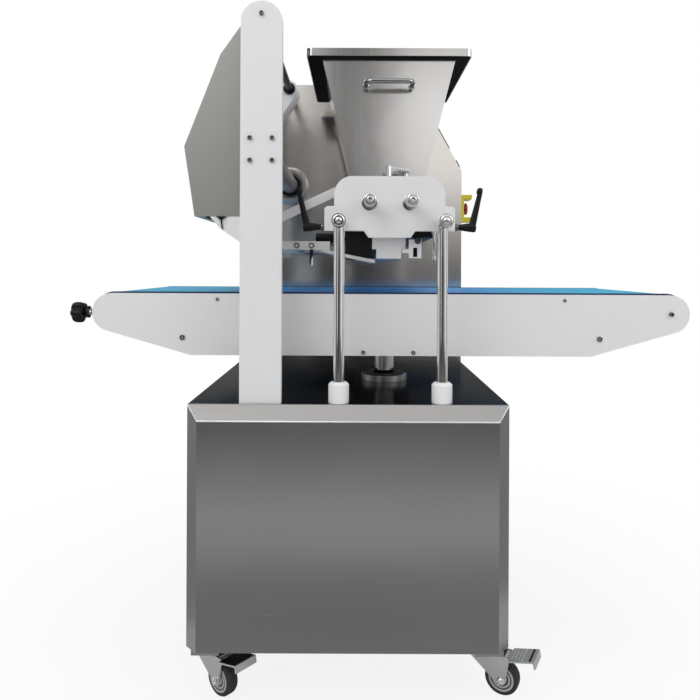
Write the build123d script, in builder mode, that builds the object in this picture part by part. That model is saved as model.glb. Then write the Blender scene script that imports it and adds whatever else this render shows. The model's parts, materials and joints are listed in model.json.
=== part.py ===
from build123d import *
from math import cos, radians, sin, tan
import os

os.makedirs("parts", exist_ok=True)

# A macaron depositor with its conveyor, on a wheeled cabinet. Sizes are in millimetres.
# X runs along the belt, +Y points away from the operator and the floor is Z = 0.
# A depth is measured back from the cabinet's front face, a height up from the floor.

# Stock and clearances
sheet = 2  # folded stainless sheet
running_gap = 0.05  # round a shaft in its bush or a screw in its thread
sliding_gap = 0.3  # between faces that pass each other
seat_gap = 0.2  # under a cover that rests on a gasket
end_gap = 1  # behind the end of a stud, pin or roller in its seat

# Casters
wheel_diameter = 75
wheel_width = 27
caster_headroom = 30  # from the wheel's top to the rails
caster_inset = 38  # from the cabinet's sides
front_caster_depth = 100
rear_caster_inset = 75
caster_trail = 42
left_heading = -40  # degrees from +X, seen from above
right_heading = -27
axle_diameter = 8
kingpin_diameter = 12
fork_gap = 34
fork_plate = 3
mount_plate_thickness = 5
mount_plate_length = 80
mount_plate_width = 70

# Cabinet
cabinet_width = 690
cabinet_depth = 930
cabinet_height = 518
cabinet_offset = -97  # cabinet's middle from the conveyor's middle
corner_width = 26  # bevels on the front panel's upright edges
corner_depth = 27
lip_height = 31
panel_return = 8
top_thickness = 4
pan_thickness = 3
rail_width = 60
rail_height = 25
fitting_proud = 6  # how far the power inlet stands out of the rear cover

# Drive housing behind the belt
housing_depth = 700
shoulder_rise = 597  # housing's upright sides over the cabinet
crown_rise = 267  # its top over the shoulders
crown_width = 390

# Front upright, tie bar, cross beam and console
upright_offset = -190.5  # from the cabinet's middle
upright_depth = 35
upright_width = 90
upright_thickness = 20
upright_crest = 28  # upright's top over the tie bar's middle
bolt_spacing = 48
bolt_diameter = 6
bolt_head_diameter = 10
bolt_head_height = 6
bolt_socket = 5
bolt_socket_depth = 3
tie_rise = 840  # tie bar over the cabinet
tie_diameter = 20
beam_rise = 548  # cross beam over the cabinet
beam_diameter = 50
beam_wall = 4
beam_flange_diameter = 114
beam_flange_thickness = 10
beam_foot_width = 64
beam_foot_thickness = 12
console_length = 420
console_setback = 36  # console's back from the upright's middle
console_drop = 144  # console's underside below the cross beam
console_toe_height = 153  # from the underside to the nose
console_slope_height = 201  # from the nose to the brow
console_brow_height = 80  # from the brow to the top
console_nose = 170.5  # how far the console reaches left of the upright's middle
console_toe = 147.5
console_brow = 92.5
gusset_thickness = 15
gusset_height = 58
screen_length = 230
screen_height = 150
screen_proud = 6
boss_length = 45

# Depositing head
head_offset = -6  # head's middle from the conveyor's middle
head_rise = 143.5  # ears over the belt
head_depth = 110
head_plate = 20
head_width = 252
head_height = 124
crown_radius = 42
ear_width = 296
ear_height = 56
tongue_drop = 15
tongue_width = 96
tongue_slope = 10.5
chamber_length = 410
roller_nip = 5  # gap between the two feed rollers
roller_rise = 63  # rollers over the ears' underside
feed_roller_diameter = 87
shaft_diameter = 26
shaft_reach = 85  # shaft ends in front of the head's front plate
bush_wall = 3
gear_width = 25
gear_tooth_count = 23
gear_tooth_height = 3
seat_step = 4  # hopper's seat below the front plate's top
outlet_width = 24
ceiling_thickness = 13  # plate between the feed body and the die
die_thickness = 27
nozzle_bar_height = 22
die_width = 77
nozzle_bar_width = 58
nozzle_count = 7
nozzle_pitch = 52
nozzle_diameter = 16
die_length = 383
side_block_reach = 101  # side block's outer face from the head's middle

# Columns, pins and levers
column_spacing = 225
column_depth = 52
column_diameter = 24
sleeve_diameter = 45
sleeve_height = 45
pin_rise = 15  # pins over the ears' underside
pin_diameter = 27
pin_overhang = 20  # pins in front of the cabinet's face
spigot_diameter = 16
lever_rise = 9
lever_hub_diameter = 22
lever_hub_length = 48
lever_arm_length = 92
lever_lean = 13
lever_stud_diameter = 10

# Hopper
hopper_height = 308
hopper_setback = 45  # hopper's front wall behind the front plate
rim_width = 386
rim_skirt = 18
rim_corner = 12
rim_flange = 31
rim_front_flange = 22
rim_back_flange = 75
throat_width = 169
foot_width = 210
foot_lip = 8  # foot in front of and behind the hopper's end walls
foot_thickness = 5
handle_width = 108
handle_reach = 45
handle_diameter = 12
handle_drop = 83  # handles below the rim
lock_diameter = 14
lock_reach = 60
lock_rise = 24  # lock's top over the front plate
lock_heading = 40

# Cutter
bar_rise = 29  # bars' middle over the die's underside
bar_section = 19
bar_thickness = 6
cutter_stroke = 45
cutter_arm_offset = 50  # tube and drive arm from the upright's middle
wire_gap = 7  # wire below the die
wire_diameter = 1.2
strip_thickness = 3
strip_section = 8

# Conveyor and its lift
conveyor_length = 1388
conveyor_width = 540  # over both side plates
conveyor_gap = 10  # between the rear side plate and the housing
conveyor_rise = 89  # conveyor over the cabinet
conveyor_flat = 930  # straight stretch of the plates' bottom edge
side_plate = 15
end_radius = 44
belt_roller_rise = 99
belt_thickness = 2.5
belt_proud = 1.5
belt_inset = 11  # belt edge from the side plates
roller_axle = 20
bed_thickness = 3
bed_flange = 40
tension_travel = 8
block_size = 30
block_thread = 27  # from the roller's axis to the end that the screw enters
knob_diameter = 53
knob_length = 30
knob_reach = 49
knob_stud = 10
rod_diameter = 16
lift_depth = 375
lift_travel = 50
ram_diameter = 38
lift_sleeve_diameter = 51
lift_sleeve_length = 59
flange_diameter = 120
flange_thickness = 18
lift_tube_diameter = 64

# Emergency stop
stop_rise = 484  # button over the cabinet
stop_setback = 70  # button behind the housing's front wall
stop_width = 70
stop_tall = 85
stop_travel = 5

# Heights that follow from the sizes above
caster_height = wheel_diameter + caster_headroom
cabinet_bottom = caster_height + rail_height
cabinet_top = cabinet_bottom + cabinet_height
conveyor_bottom = cabinet_top + conveyor_rise
belt_roller_height = conveyor_bottom + belt_roller_rise
belt_radius = end_radius + belt_proud
ear_bottom = belt_roller_height + belt_radius + head_rise
ear_top = ear_bottom + ear_height
head_top = ear_bottom + head_height
tongue_bottom = ear_bottom - tongue_drop
roller_height = ear_bottom + roller_rise
pin_height = ear_bottom + pin_rise
lever_height = ear_bottom + lever_rise
hopper_seat = head_top - seat_step
rim_height = hopper_seat + hopper_height
handle_height = rim_height - handle_drop
lock_height = head_top + lock_rise
die_ceiling = ear_bottom - ceiling_thickness
die_step = die_ceiling - die_thickness
die_bottom = die_step - nozzle_bar_height
bar_height = die_bottom + bar_rise
wire_height = die_bottom - wire_gap
shoulder_height = cabinet_top + shoulder_rise
housing_top = shoulder_height + crown_rise
tie_height = cabinet_top + tie_rise
upright_top = tie_height + upright_crest
beam_height = cabinet_top + beam_rise
console_bottom = beam_height - console_drop
nose_height = console_bottom + console_toe_height
brow_height = nose_height + console_slope_height
console_top = brow_height + console_brow_height
gusset_bottom = console_bottom - gusset_height
stop_height = cabinet_top + stop_rise

# Places that follow from the sizes above
roller_spacing = feed_roller_diameter + roller_nip
conveyor_x = knob_reach / 2
head_x = conveyor_x + head_offset
cabinet_x = conveyor_x + cabinet_offset
upright_x = cabinet_x + upright_offset
left_x = cabinet_x - cabinet_width / 2
right_x = cabinet_x + cabinet_width / 2
panel_y = -(cabinet_depth - pin_overhang) / 2
bevel_y = panel_y + corner_depth
panel_back = bevel_y + panel_return
cover_y = panel_y + cabinet_depth - fitting_proud - sheet
housing_y = panel_y + housing_depth
upright_y = panel_y + upright_depth
upright_back = upright_y + upright_thickness
pan_top = cabinet_bottom + pan_thickness
head_y = panel_y + head_depth
chamber_y = head_y + head_plate
chamber_back = chamber_y + chamber_length
head_back = chamber_back + head_plate
hopper_y = chamber_y + hopper_setback
hopper_back = chamber_back - foot_lip - end_gap
conveyor_back = housing_y - conveyor_gap
conveyor_y = conveyor_back - conveyor_width
conveyor_inner = conveyor_y + side_plate
conveyor_inner_back = conveyor_back - side_plate
lift_x = head_x
lift_y = panel_y + lift_depth


def facing(depth_y):
    """A drawing plane that stands at a depth and looks like the front view."""
    return Plane.XZ.offset(-depth_y)


def block(x, y, z, mode=Mode.ADD):
    """A box between pairs of coordinates."""
    with Locations([((x[0] + x[1]) / 2, (y[0] + y[1]) / 2, (z[0] + z[1]) / 2)]):
        Box(x[1] - x[0], y[1] - y[0], z[1] - z[0], mode=mode)


def rod(start, end, diameter, mode=Mode.ADD):
    """A round bar between two points."""
    run = Vector(*end) - Vector(*start)
    with Locations(Plane(origin=start, z_dir=run)):
        Cylinder(
            diameter / 2,
            run.length,
            align=(Align.CENTER, Align.CENTER, Align.MIN),
            mode=mode,
        )


def save(node, *pieces):
    """Write one node: a single piece, or several pieces that stay separate solids."""
    shape = pieces[0].part
    if len(pieces) > 1:
        shape = Compound([solid for piece in pieces for solid in piece.part.solids()])
    shape.label = node
    export_step(shape, f"parts/{node}.step")


# Cabinet: front panel, a tray with bevelled edges and a sloping lip
with BuildPart() as front_panel:
    with BuildSketch(Plane.XY.offset(cabinet_bottom)):
        with BuildLine():
            Polyline(
                (left_x, panel_back),
                (left_x, bevel_y),
                (left_x + corner_width, panel_y),
                (right_x - corner_width, panel_y),
                (right_x, bevel_y),
                (right_x, panel_back),
                close=True,
            )
        make_face()
    extrude(amount=cabinet_top - cabinet_bottom)
    with BuildSketch(Plane.YZ.offset(left_x)):
        with BuildLine():
            Polyline(
                (panel_y, cabinet_top - lip_height),
                (bevel_y, cabinet_top),
                (panel_y, cabinet_top),
                close=True,
            )
        make_face()
    extrude(amount=cabinet_width, mode=Mode.SUBTRACT)
    rear_opening = front_panel.faces().sort_by(Axis.Y)[-1]
    bottom_opening = front_panel.faces().sort_by(Axis.Z)[0]
    offset(amount=-sheet, openings=[rear_opening, bottom_opening])
save("front_panel", front_panel)

# Cabinet: flat side panels
with BuildPart() as side_panels:
    for inner, outer in ((left_x + sheet, left_x), (right_x - sheet, right_x)):
        block(
            sorted((inner, outer)),
            (panel_back, cover_y),
            (cabinet_bottom, cabinet_top - top_thickness),
        )
save("side_panels", side_panels)

# Cabinet: floor pan on two rails that carry the casters
with BuildPart() as floor_pan:
    block(
        (left_x + sheet, right_x - sheet),
        (panel_back, cover_y),
        (cabinet_bottom, pan_top),
    )
rail_x = [left_x + caster_inset, right_x - caster_inset]
with BuildPart() as rails:
    for x in rail_x:
        block(
            (x - rail_width / 2, x + rail_width / 2),
            (panel_back, cover_y),
            (caster_height, cabinet_bottom),
        )
save("base_frame", floor_pan, rails)

# Cabinet: dark top plate with a hole for the lift's ram
ram_room = 4
ram_hole = ram_diameter + ram_room
with BuildPart() as top_plate:
    top_underside = cabinet_top - top_thickness
    block((left_x, right_x), (panel_back, cover_y), (top_underside, cabinet_top))
    rod((lift_x, lift_y, top_underside), (lift_x, lift_y, cabinet_top), ram_hole, Mode.SUBTRACT)
save("top_plate", top_plate)

# Rear cover of cabinet and housing, in one sheet, with two fields of vent slots
shoulder_left = (left_x, shoulder_height)
shoulder_right = (right_x, shoulder_height)
crown_left = (cabinet_x - crown_width / 2, housing_top)
crown_right = (cabinet_x + crown_width / 2, housing_top)
vent_length = 120
vent_width = 8
vent_pitch = 22
vent_spread = 156
vent_columns = 2
vent_rows = 6
cabinet_vent_rise = 290  # over the cabinet's underside
housing_vent_rise = 532  # over the cabinet's top
inlet_rise = 70
inlet_inset = 90
inlet_size = (48, 28)
inlet_x = right_x - inlet_inset
inlet_height = cabinet_bottom + inlet_rise
with BuildPart() as rear_cover:
    with BuildSketch(facing(cover_y + sheet)):
        with BuildLine():
            Polyline(
                (left_x, cabinet_bottom),
                shoulder_left,
                crown_left,
                crown_right,
                shoulder_right,
                (right_x, cabinet_bottom),
                close=True,
            )
        make_face()
        for height in (cabinet_bottom + cabinet_vent_rise, cabinet_top + housing_vent_rise):
            with Locations((cabinet_x, height)):
                with GridLocations(vent_spread, vent_pitch, vent_columns, vent_rows):
                    SlotOverall(vent_length, vent_width, mode=Mode.SUBTRACT)
        with Locations((inlet_x, inlet_height)):
            Rectangle(*inlet_size, mode=Mode.SUBTRACT)
    extrude(amount=sheet)
save("rear_cover", rear_cover)

# Electrical panel on the right side panel, with its devices and the power inlet in the rear cover
board_thickness = 3
board_setback = 260
board_length = 380
board_rise = 80
board_height = 360
board_x = right_x - sheet - board_thickness
board_y = (panel_y + board_setback, panel_y + board_setback + board_length)
board_z = (cabinet_bottom + board_rise, cabinet_bottom + board_rise + board_height)
with BuildPart() as board:
    block((board_x, right_x - sheet), board_y, board_z)
devices = {  # depth along X, then pairs of offsets along the board's length and height
    "inverter": (130, (20, 130), (150, 330)),
    "controller": (90, (150, 310), (220, 330)),
    "power_supply": (100, (150, 220), (40, 180)),
    "contactors": (80, (240, 360), (60, 150)),
    "terminals": (50, (20, 130), (30, 80)),
}
with BuildPart() as device_boxes:
    for reach, along, up in devices.values():
        block(
            (board_x - reach, board_x),
            [board_y[0] + step for step in along],
            [board_z[0] + step for step in up],
        )
inlet_body = 30
inlet_rim = 6
with BuildPart() as power_inlet:
    inlet_half = [size / 2 for size in inlet_size]
    block(
        (inlet_x - inlet_half[0], inlet_x + inlet_half[0]),
        (cover_y - inlet_body, cover_y + sheet),
        (inlet_height - inlet_half[1], inlet_height + inlet_half[1]),
    )
    block(
        (inlet_x - inlet_half[0] - inlet_rim, inlet_x + inlet_half[0] + inlet_rim),
        (cover_y + sheet, cover_y + sheet + fitting_proud),
        (inlet_height - inlet_half[1] - inlet_rim, inlet_height + inlet_half[1] + inlet_rim),
    )
save("electrical_panel", board, device_boxes, power_inlet)

# Lift drive: gearbox on the floor pan, motor beside it, and the tube that guides the ram
lift_box = 110
lift_box_height = 100
lift_box_top = pan_top + lift_box_height
lift_motor_diameter = 90
lift_motor_length = 150
with BuildPart() as lift_gearbox:
    block(
        (lift_x - lift_box / 2, lift_x + lift_box / 2),
        (lift_y - lift_box / 2, lift_y + lift_box / 2),
        (pan_top, lift_box_top),
    )
lift_motor_z = (pan_top + lift_box_top) / 2
with BuildPart() as lift_motor:
    rod(
        (lift_x - lift_box / 2 - lift_motor_length, lift_y, lift_motor_z),
        (lift_x - lift_box / 2, lift_y, lift_motor_z),
        lift_motor_diameter,
    )
ram_bore = ram_diameter + 2 * running_gap
with BuildPart() as lift_tube:
    tube_ends = ((lift_x, lift_y, lift_box_top), (lift_x, lift_y, top_underside))
    rod(*tube_ends, lift_tube_diameter)
    rod(*tube_ends, ram_bore, Mode.SUBTRACT)

# Limit switches on the tube, as far apart as the lift travels
switch_width = 30
switch_height = 24
switch_depth = 28
switch_rise = 60
with BuildPart() as lift_switches:
    for z in (lift_box_top + switch_rise, lift_box_top + switch_rise + lift_travel):
        block(
            (lift_x - switch_width / 2, lift_x + switch_width / 2),
            (lift_y - lift_tube_diameter / 2 - switch_depth, lift_y),
            (z, z + switch_height),
        )
    rod(*tube_ends, lift_tube_diameter, Mode.SUBTRACT)
save("lift_drive", lift_gearbox, lift_motor, lift_tube, lift_switches)

# Flange that guides the ram on the cabinet's top
flange_chamfer = 3
with BuildPart() as lift_flange:
    flange_ends = ((lift_x, lift_y, cabinet_top), (lift_x, lift_y, cabinet_top + flange_thickness))
    rod(*flange_ends, flange_diameter)
    chamfer(lift_flange.edges().filter_by(GeomType.CIRCLE).sort_by(Axis.Z)[-1], flange_chamfer)
    rod(*flange_ends, ram_bore, Mode.SUBTRACT)
save("lift_flange", lift_flange)

# Drive housing: sides, shoulders and top folded from one sheet
with BuildPart() as housing_wrap:
    with BuildSketch(facing(cover_y)):
        with BuildLine():
            Polyline(
                (left_x, cabinet_top),
                shoulder_left,
                crown_left,
                crown_right,
                shoulder_right,
                (right_x, cabinet_top),
                close=True,
            )
        make_face()
        offset(amount=-sheet, mode=Mode.SUBTRACT)
    extrude(amount=cover_y - housing_y - sheet)
save("housing_wrap", housing_wrap)

# Drive housing: front wall with holes for the roller shafts and a slot for the cutter's drive arm
roller_x = [head_x - roller_spacing / 2, head_x + roller_spacing / 2]
arm_x = upright_x + cutter_arm_offset
arm_diameter = 16
arm_room = 2
with BuildPart() as housing_front:
    with BuildSketch(facing(housing_y + sheet)):
        with BuildLine():
            Polyline(
                (left_x, cabinet_top),
                shoulder_left,
                crown_left,
                crown_right,
                shoulder_right,
                (right_x, cabinet_top),
                close=True,
            )
        make_face()
        with Locations(*[(x, roller_height) for x in roller_x]):
            Circle(shaft_diameter / 2 + arm_room, mode=Mode.SUBTRACT)
        with Locations((arm_x + cutter_stroke / 2, bar_height)):
            SlotCenterToCenter(cutter_stroke, arm_diameter + 2 * arm_room, mode=Mode.SUBTRACT)
    extrude(amount=sheet)
save("housing_front", housing_front)

# Worm gearbox on the left roller's shaft with its motor beside it, held off the front wall by four spacers
gear_gap = 10
gearbox_gap = 8
gearbox_length = 80
gearbox_size = 124
spacer_diameter = 16
motor_diameter = 76
motor_length = 180
gear_y = housing_y + sheet + gear_gap
gear_back = gear_y + gear_width
gearbox_y = gear_back + gearbox_gap
with BuildPart() as gearbox:
    block(
        (roller_x[0] - gearbox_size / 2, roller_x[0] + gearbox_size / 2),
        (gearbox_y, gearbox_y + gearbox_length),
        (roller_height - gearbox_size / 2, roller_height + gearbox_size / 2),
    )
    rod(
        (roller_x[0], gearbox_y, roller_height),
        (roller_x[0], gearbox_y + gearbox_length / 2, roller_height),
        shaft_diameter + 2 * running_gap,
        Mode.SUBTRACT,
    )
with BuildPart() as feed_motor_can:
    motor_x = roller_x[0] - gearbox_size / 2
    motor_y = gearbox_y + gearbox_length / 2
    rod((motor_x - motor_length, motor_y, roller_height), (motor_x, motor_y, roller_height), motor_diameter)
with BuildPart() as gearbox_spacers:
    spacer_reach = gearbox_size / 2 - spacer_diameter / 2
    for dx in (-spacer_reach, spacer_reach):
        for dz in (-spacer_reach, spacer_reach):
            rod(
                (roller_x[0] + dx, housing_y + sheet, roller_height + dz),
                (roller_x[0] + dx, gearbox_y, roller_height + dz),
                spacer_diameter,
            )
save("feed_motor", gearbox, feed_motor_can, gearbox_spacers)

# Cutter actuator behind the housing's front wall, above the slot of the drive arm
actuator_overhang = 60
actuator_size = 46
actuator_gap = 6
with BuildPart() as cutter_actuator:
    actuator_bottom = bar_height + arm_diameter / 2 + actuator_gap
    block(
        (arm_x - actuator_overhang, arm_x + cutter_stroke + actuator_overhang),
        (housing_y + sheet, housing_y + sheet + actuator_size),
        (actuator_bottom, actuator_bottom + actuator_size),
    )
save("cutter_actuator", cutter_actuator)

# Front upright with a round top
bolt_places = [(upright_x, tie_height)]
for dx in (-bolt_spacing / 2, bolt_spacing / 2):
    for dz in (-bolt_spacing / 2, bolt_spacing / 2):
        bolt_places.append((upright_x + dx, beam_height + dz))
with BuildPart() as front_upright:
    with BuildSketch(facing(upright_back)):
        upright_straight = upright_top - upright_width / 2 - cabinet_top
        with Locations((upright_x, cabinet_top + upright_straight / 2)):
            Rectangle(upright_width, upright_straight)
        with Locations((upright_x, cabinet_top + upright_straight)):
            Circle(upright_width / 2)
        with Locations(*bolt_places):
            Circle(bolt_diameter / 2, mode=Mode.SUBTRACT)
    extrude(amount=upright_thickness)
save("front_upright", front_upright)

# Bolts through the upright, with round socket heads
with BuildPart() as upright_bolts:
    for x, z in bolt_places:
        bolt_front = upright_y - bolt_head_height
        rod((x, bolt_front, z), (x, upright_y, z), bolt_head_diameter)
        rod((x, upright_y, z), (x, upright_back, z), bolt_diameter)
        rod((x, bolt_front, z), (x, bolt_front + bolt_socket_depth, z), bolt_socket, Mode.SUBTRACT)
save("upright_bolts", upright_bolts)

# Tie bar from the upright's top to the bracket on the housing, with a collar at its rear end
tie_end = housing_y - boss_length
tie_collar = 8
tie_collar_diameter = 36
with BuildPart() as tie_bar:
    rod((upright_x, upright_back, tie_height), (upright_x, tie_end, tie_height), tie_diameter)
    rod((upright_x, tie_end - tie_collar, tie_height), (upright_x, tie_end, tie_height), tie_collar_diameter)
save("tie_bar", tie_bar)

# White brackets: gusset under the console and the tie bar's rear bracket
gusset_reach = 114
gusset_knee_reach = 91.2
gusset_knee_drop = 26.1
gusset_overlap = 30  # gusset behind the upright, past its middle
with BuildPart() as console_gusset:
    with BuildSketch(facing(upright_back + gusset_thickness)):
        with BuildLine():
            Polyline(
                (upright_x - gusset_reach, console_bottom),
                (upright_x - gusset_knee_reach, console_bottom - gusset_knee_drop),
                (upright_x - upright_width / 2, gusset_bottom),
                (upright_x + gusset_overlap, gusset_bottom),
                (upright_x + gusset_overlap, console_bottom),
                close=True,
            )
        make_face()
    extrude(amount=gusset_thickness)
boss_radius = 26
boss_toe_radius = 14
boss_toe_offset = 50
boss_toe_rise = 140  # bracket's toe over the housing's shoulders
boss_toe = (upright_x - boss_toe_offset, shoulder_height + boss_toe_rise)
with BuildPart() as tie_bracket:
    with BuildSketch(facing(housing_y)) as tie_bracket_outline:
        with Locations((upright_x, tie_height)):
            Circle(boss_radius)
        with Locations(boss_toe):
            Circle(boss_toe_radius)
        make_hull(tie_bracket_outline.edges())
    extrude(amount=boss_length)
save("console_brackets", console_gusset, tie_bracket)

# Cross beam from the upright to the housing, with lugs that carry the console
console_y = upright_back
console_back_x = upright_x - console_setback
lug_places = (0.3, 0.7)
lug_width = 30
lug_height = 24
beam_front = upright_back + beam_foot_thickness
beam_end = housing_y - beam_flange_thickness
with BuildPart() as beam_tube:
    beam_ends = ((upright_x, beam_front, beam_height), (upright_x, beam_end, beam_height))
    for share in lug_places:
        lug_y = console_y + console_length * share
        block(
            (console_back_x + seat_gap + sheet, upright_x),
            (lug_y - lug_width / 2, lug_y + lug_width / 2),
            (beam_height - lug_height / 2, beam_height + lug_height / 2),
        )
    rod(*beam_ends, beam_diameter)
    rod(*beam_ends, beam_diameter - 2 * beam_wall, Mode.SUBTRACT)
with BuildPart() as beam_foot:
    block(
        (upright_x - beam_foot_width / 2, upright_x + beam_foot_width / 2),
        (upright_back, beam_front),
        (beam_height - beam_foot_width / 2, beam_height + beam_foot_width / 2),
    )
with BuildPart() as beam_flange:
    rod((upright_x, beam_end, beam_height), (upright_x, housing_y, beam_height), beam_flange_diameter)
save("cross_beam", beam_tube, beam_foot, beam_flange)

# Console: folded shell, open towards the upright's middle, and its back cover
with BuildPart() as console_shell:
    with BuildSketch(facing(console_y + console_length)):
        with BuildLine():
            Polyline(
                (console_back_x, console_top),
                (upright_x - console_brow, brow_height),
                (upright_x - console_nose, nose_height),
                (upright_x - console_toe, console_bottom),
                (console_back_x, console_bottom),
                close=True,
            )
        make_face()
    extrude(amount=console_length)
    offset(amount=-sheet, openings=[console_shell.faces().sort_by(Axis.X)[-1]])
with BuildPart() as console_back:
    block(
        (console_back_x + seat_gap, console_back_x + seat_gap + sheet),
        (console_y, console_y + console_length),
        (console_bottom, console_top),
    )
save("console_shell", console_shell, console_back)

# Touch screen on the console's sloping face
slope_low = Vector(upright_x - console_nose, console_y + console_length / 2, nose_height)
slope_high = Vector(upright_x - console_brow, console_y + console_length / 2, brow_height)
slope_along = (slope_high - slope_low).normalized()
slope_out = Vector(0, 1, 0).cross(slope_along) * -1
screen_plane = Plane(origin=(slope_low + slope_high) * 0.5, x_dir=(0, 1, 0), z_dir=slope_out)
screen_corner = 6
with BuildPart() as touch_screen:
    with BuildSketch(screen_plane):
        RectangleRounded(screen_length, screen_height, screen_corner)
    extrude(amount=screen_proud)
save("touch_screen", touch_screen)

# Emergency stop: guarded box on the housing's right side
stop_y = housing_y + stop_setback
stop_base = 14
stop_guard = 39
stop_guard_size = 14
stop_stem = 14
with BuildPart() as estop_box:
    stop_span = (stop_y - stop_width / 2, stop_y + stop_width / 2)
    stop_z = (stop_height - stop_tall / 2, stop_height + stop_tall / 2)
    block((right_x, right_x + stop_base), stop_span, stop_z)
    for edge in (stop_z[0], stop_z[1] - stop_guard_size):
        block((right_x, right_x + stop_guard), stop_span, (edge, edge + stop_guard_size))
    rod(
        (right_x, stop_y, stop_height),
        (right_x + stop_base, stop_y, stop_height),
        stop_stem + 2 * sliding_gap,
        Mode.SUBTRACT,
    )
save("estop_box", estop_box)

# Emergency stop: mushroom button, with room to be pushed in
stop_button_diameter = 38
stop_button_height = 10
stop_rounding = 4
stop_head = right_x + stop_base + stop_travel + end_gap
with BuildPart() as estop_button:
    rod((right_x + stop_travel + end_gap, stop_y, stop_height), (stop_head, stop_y, stop_height), stop_stem)
    stop_face = stop_head + stop_button_height
    rod((stop_head, stop_y, stop_height), (stop_face, stop_y, stop_height), stop_button_diameter)
    fillet(estop_button.edges().filter_by(GeomType.CIRCLE).sort_by(Axis.X)[-1], stop_rounding)
save("estop_button", estop_button)

# Polished columns with cross pins that carry the head's front
column_x = [head_x - column_spacing / 2, head_x + column_spacing / 2]
column_y = panel_y + column_depth
pin_front = panel_y - pin_overhang
pin_rounding = 4
centre_hole = 7
centre_hole_depth = 8
with BuildPart() as columns:
    for x in column_x:
        rod((x, column_y, cabinet_top), (x, column_y, pin_height), column_diameter)
        rod((x, pin_front, pin_height), (x, head_y, pin_height), pin_diameter, Mode.SUBTRACT)
with BuildPart() as cross_pins:
    for x in column_x:
        rod((x, pin_front, pin_height), (x, head_y, pin_height), pin_diameter)
        rod((x, head_y, pin_height), (x, chamber_y, pin_height), spigot_diameter)
    fillet(cross_pins.edges().filter_by(GeomType.CIRCLE).group_by(Axis.Y)[0], pin_rounding)
    for x in column_x:
        hole_end = (x, pin_front + centre_hole_depth, pin_height)
        rod((x, pin_front, pin_height), hole_end, centre_hole, Mode.SUBTRACT)
save("support_columns", columns, cross_pins)

# White sleeves at the columns' feet
sleeve_chamfer = 5
sleeve_top = cabinet_top + sleeve_height
with BuildPart() as column_sleeves:
    for x in column_x:
        rod((x, column_y, cabinet_top), (x, column_y, sleeve_top), sleeve_diameter)
    chamfer(column_sleeves.edges().group_by(Axis.Z)[-1], sleeve_chamfer)
    for x in column_x:
        rod((x, column_y, cabinet_top), (x, column_y, sleeve_top), column_diameter, Mode.SUBTRACT)
save("column_sleeves", column_sleeves)

# Head: white front plate with ears, tongue and bores
bush_diameter = shaft_diameter + 2 * bush_wall
lever_y = head_y + head_plate / 2
lever_grip = 20  # length of the lever's stud in the ear
lock_offset = -3  # from the head's middle
lock_x = head_x + lock_offset
lock_seat = 22
ear_fillet = 9
with BuildPart() as head_front_plate:
    with BuildSketch(facing(chamber_y)) as head_outline:
        with Locations((head_x, (head_top + ear_bottom) / 2)):
            Rectangle(head_width, head_top - ear_bottom)
        fillet(head_outline.vertices().group_by(Axis.Y)[-1], crown_radius)
        with Locations((head_x, (ear_top + ear_bottom) / 2)):
            Rectangle(ear_width, ear_top - ear_bottom)
        fillet(head_outline.vertices().sort_by(Axis.X)[:2].sort_by(Axis.Y)[-1:], ear_fillet)
        fillet(head_outline.vertices().sort_by(Axis.X)[-2:].sort_by(Axis.Y)[-1:], ear_fillet)
        with BuildLine():
            Polyline(
                (head_x - tongue_width / 2 - tongue_slope, ear_bottom),
                (head_x - tongue_width / 2, tongue_bottom),
                (head_x + tongue_width / 2, tongue_bottom),
                (head_x + tongue_width / 2 + tongue_slope, ear_bottom),
                close=True,
            )
        make_face()
        with Locations(*[(x, roller_height) for x in roller_x]):
            Circle(bush_diameter / 2, mode=Mode.SUBTRACT)
        with Locations(*[(x, pin_height) for x in column_x]):
            Circle(spigot_diameter / 2, mode=Mode.SUBTRACT)
    extrude(amount=head_plate)
    for side in (-1, 1):
        rod(
            (head_x + side * (ear_width / 2 - lever_grip), lever_y, lever_height),
            (head_x + side * ear_width / 2, lever_y, lever_height),
            lever_stud_diameter + 2 * running_gap,
            Mode.SUBTRACT,
        )
    rod(
        (lock_x, lever_y, head_top - lock_seat),
        (lock_x, lever_y, head_top),
        lock_diameter + 2 * running_gap,
        Mode.SUBTRACT,
    )
save("head_front_plate", head_front_plate)

# Head: rear plate, and spacers that hold it off the housing
rear_spacer_diameter = 28
rear_spacer_inset = 30
with BuildPart() as head_rear_plate:
    block(
        (head_x - head_width / 2, head_x + head_width / 2),
        (chamber_back, head_back),
        (ear_bottom, head_top),
    )
    for x in roller_x:
        rod((x, chamber_back, roller_height), (x, head_back, roller_height), bush_diameter, Mode.SUBTRACT)
with BuildPart() as head_spacers:
    for dx in (rear_spacer_inset - head_width / 2, head_width / 2 - rear_spacer_inset):
        for z in (ear_bottom + rear_spacer_diameter, head_top - rear_spacer_diameter):
            rod((head_x + dx, head_back, z), (head_x + dx, housing_y, z), rear_spacer_diameter)
save("head_rear_plate", head_rear_plate, head_spacers)

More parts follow.
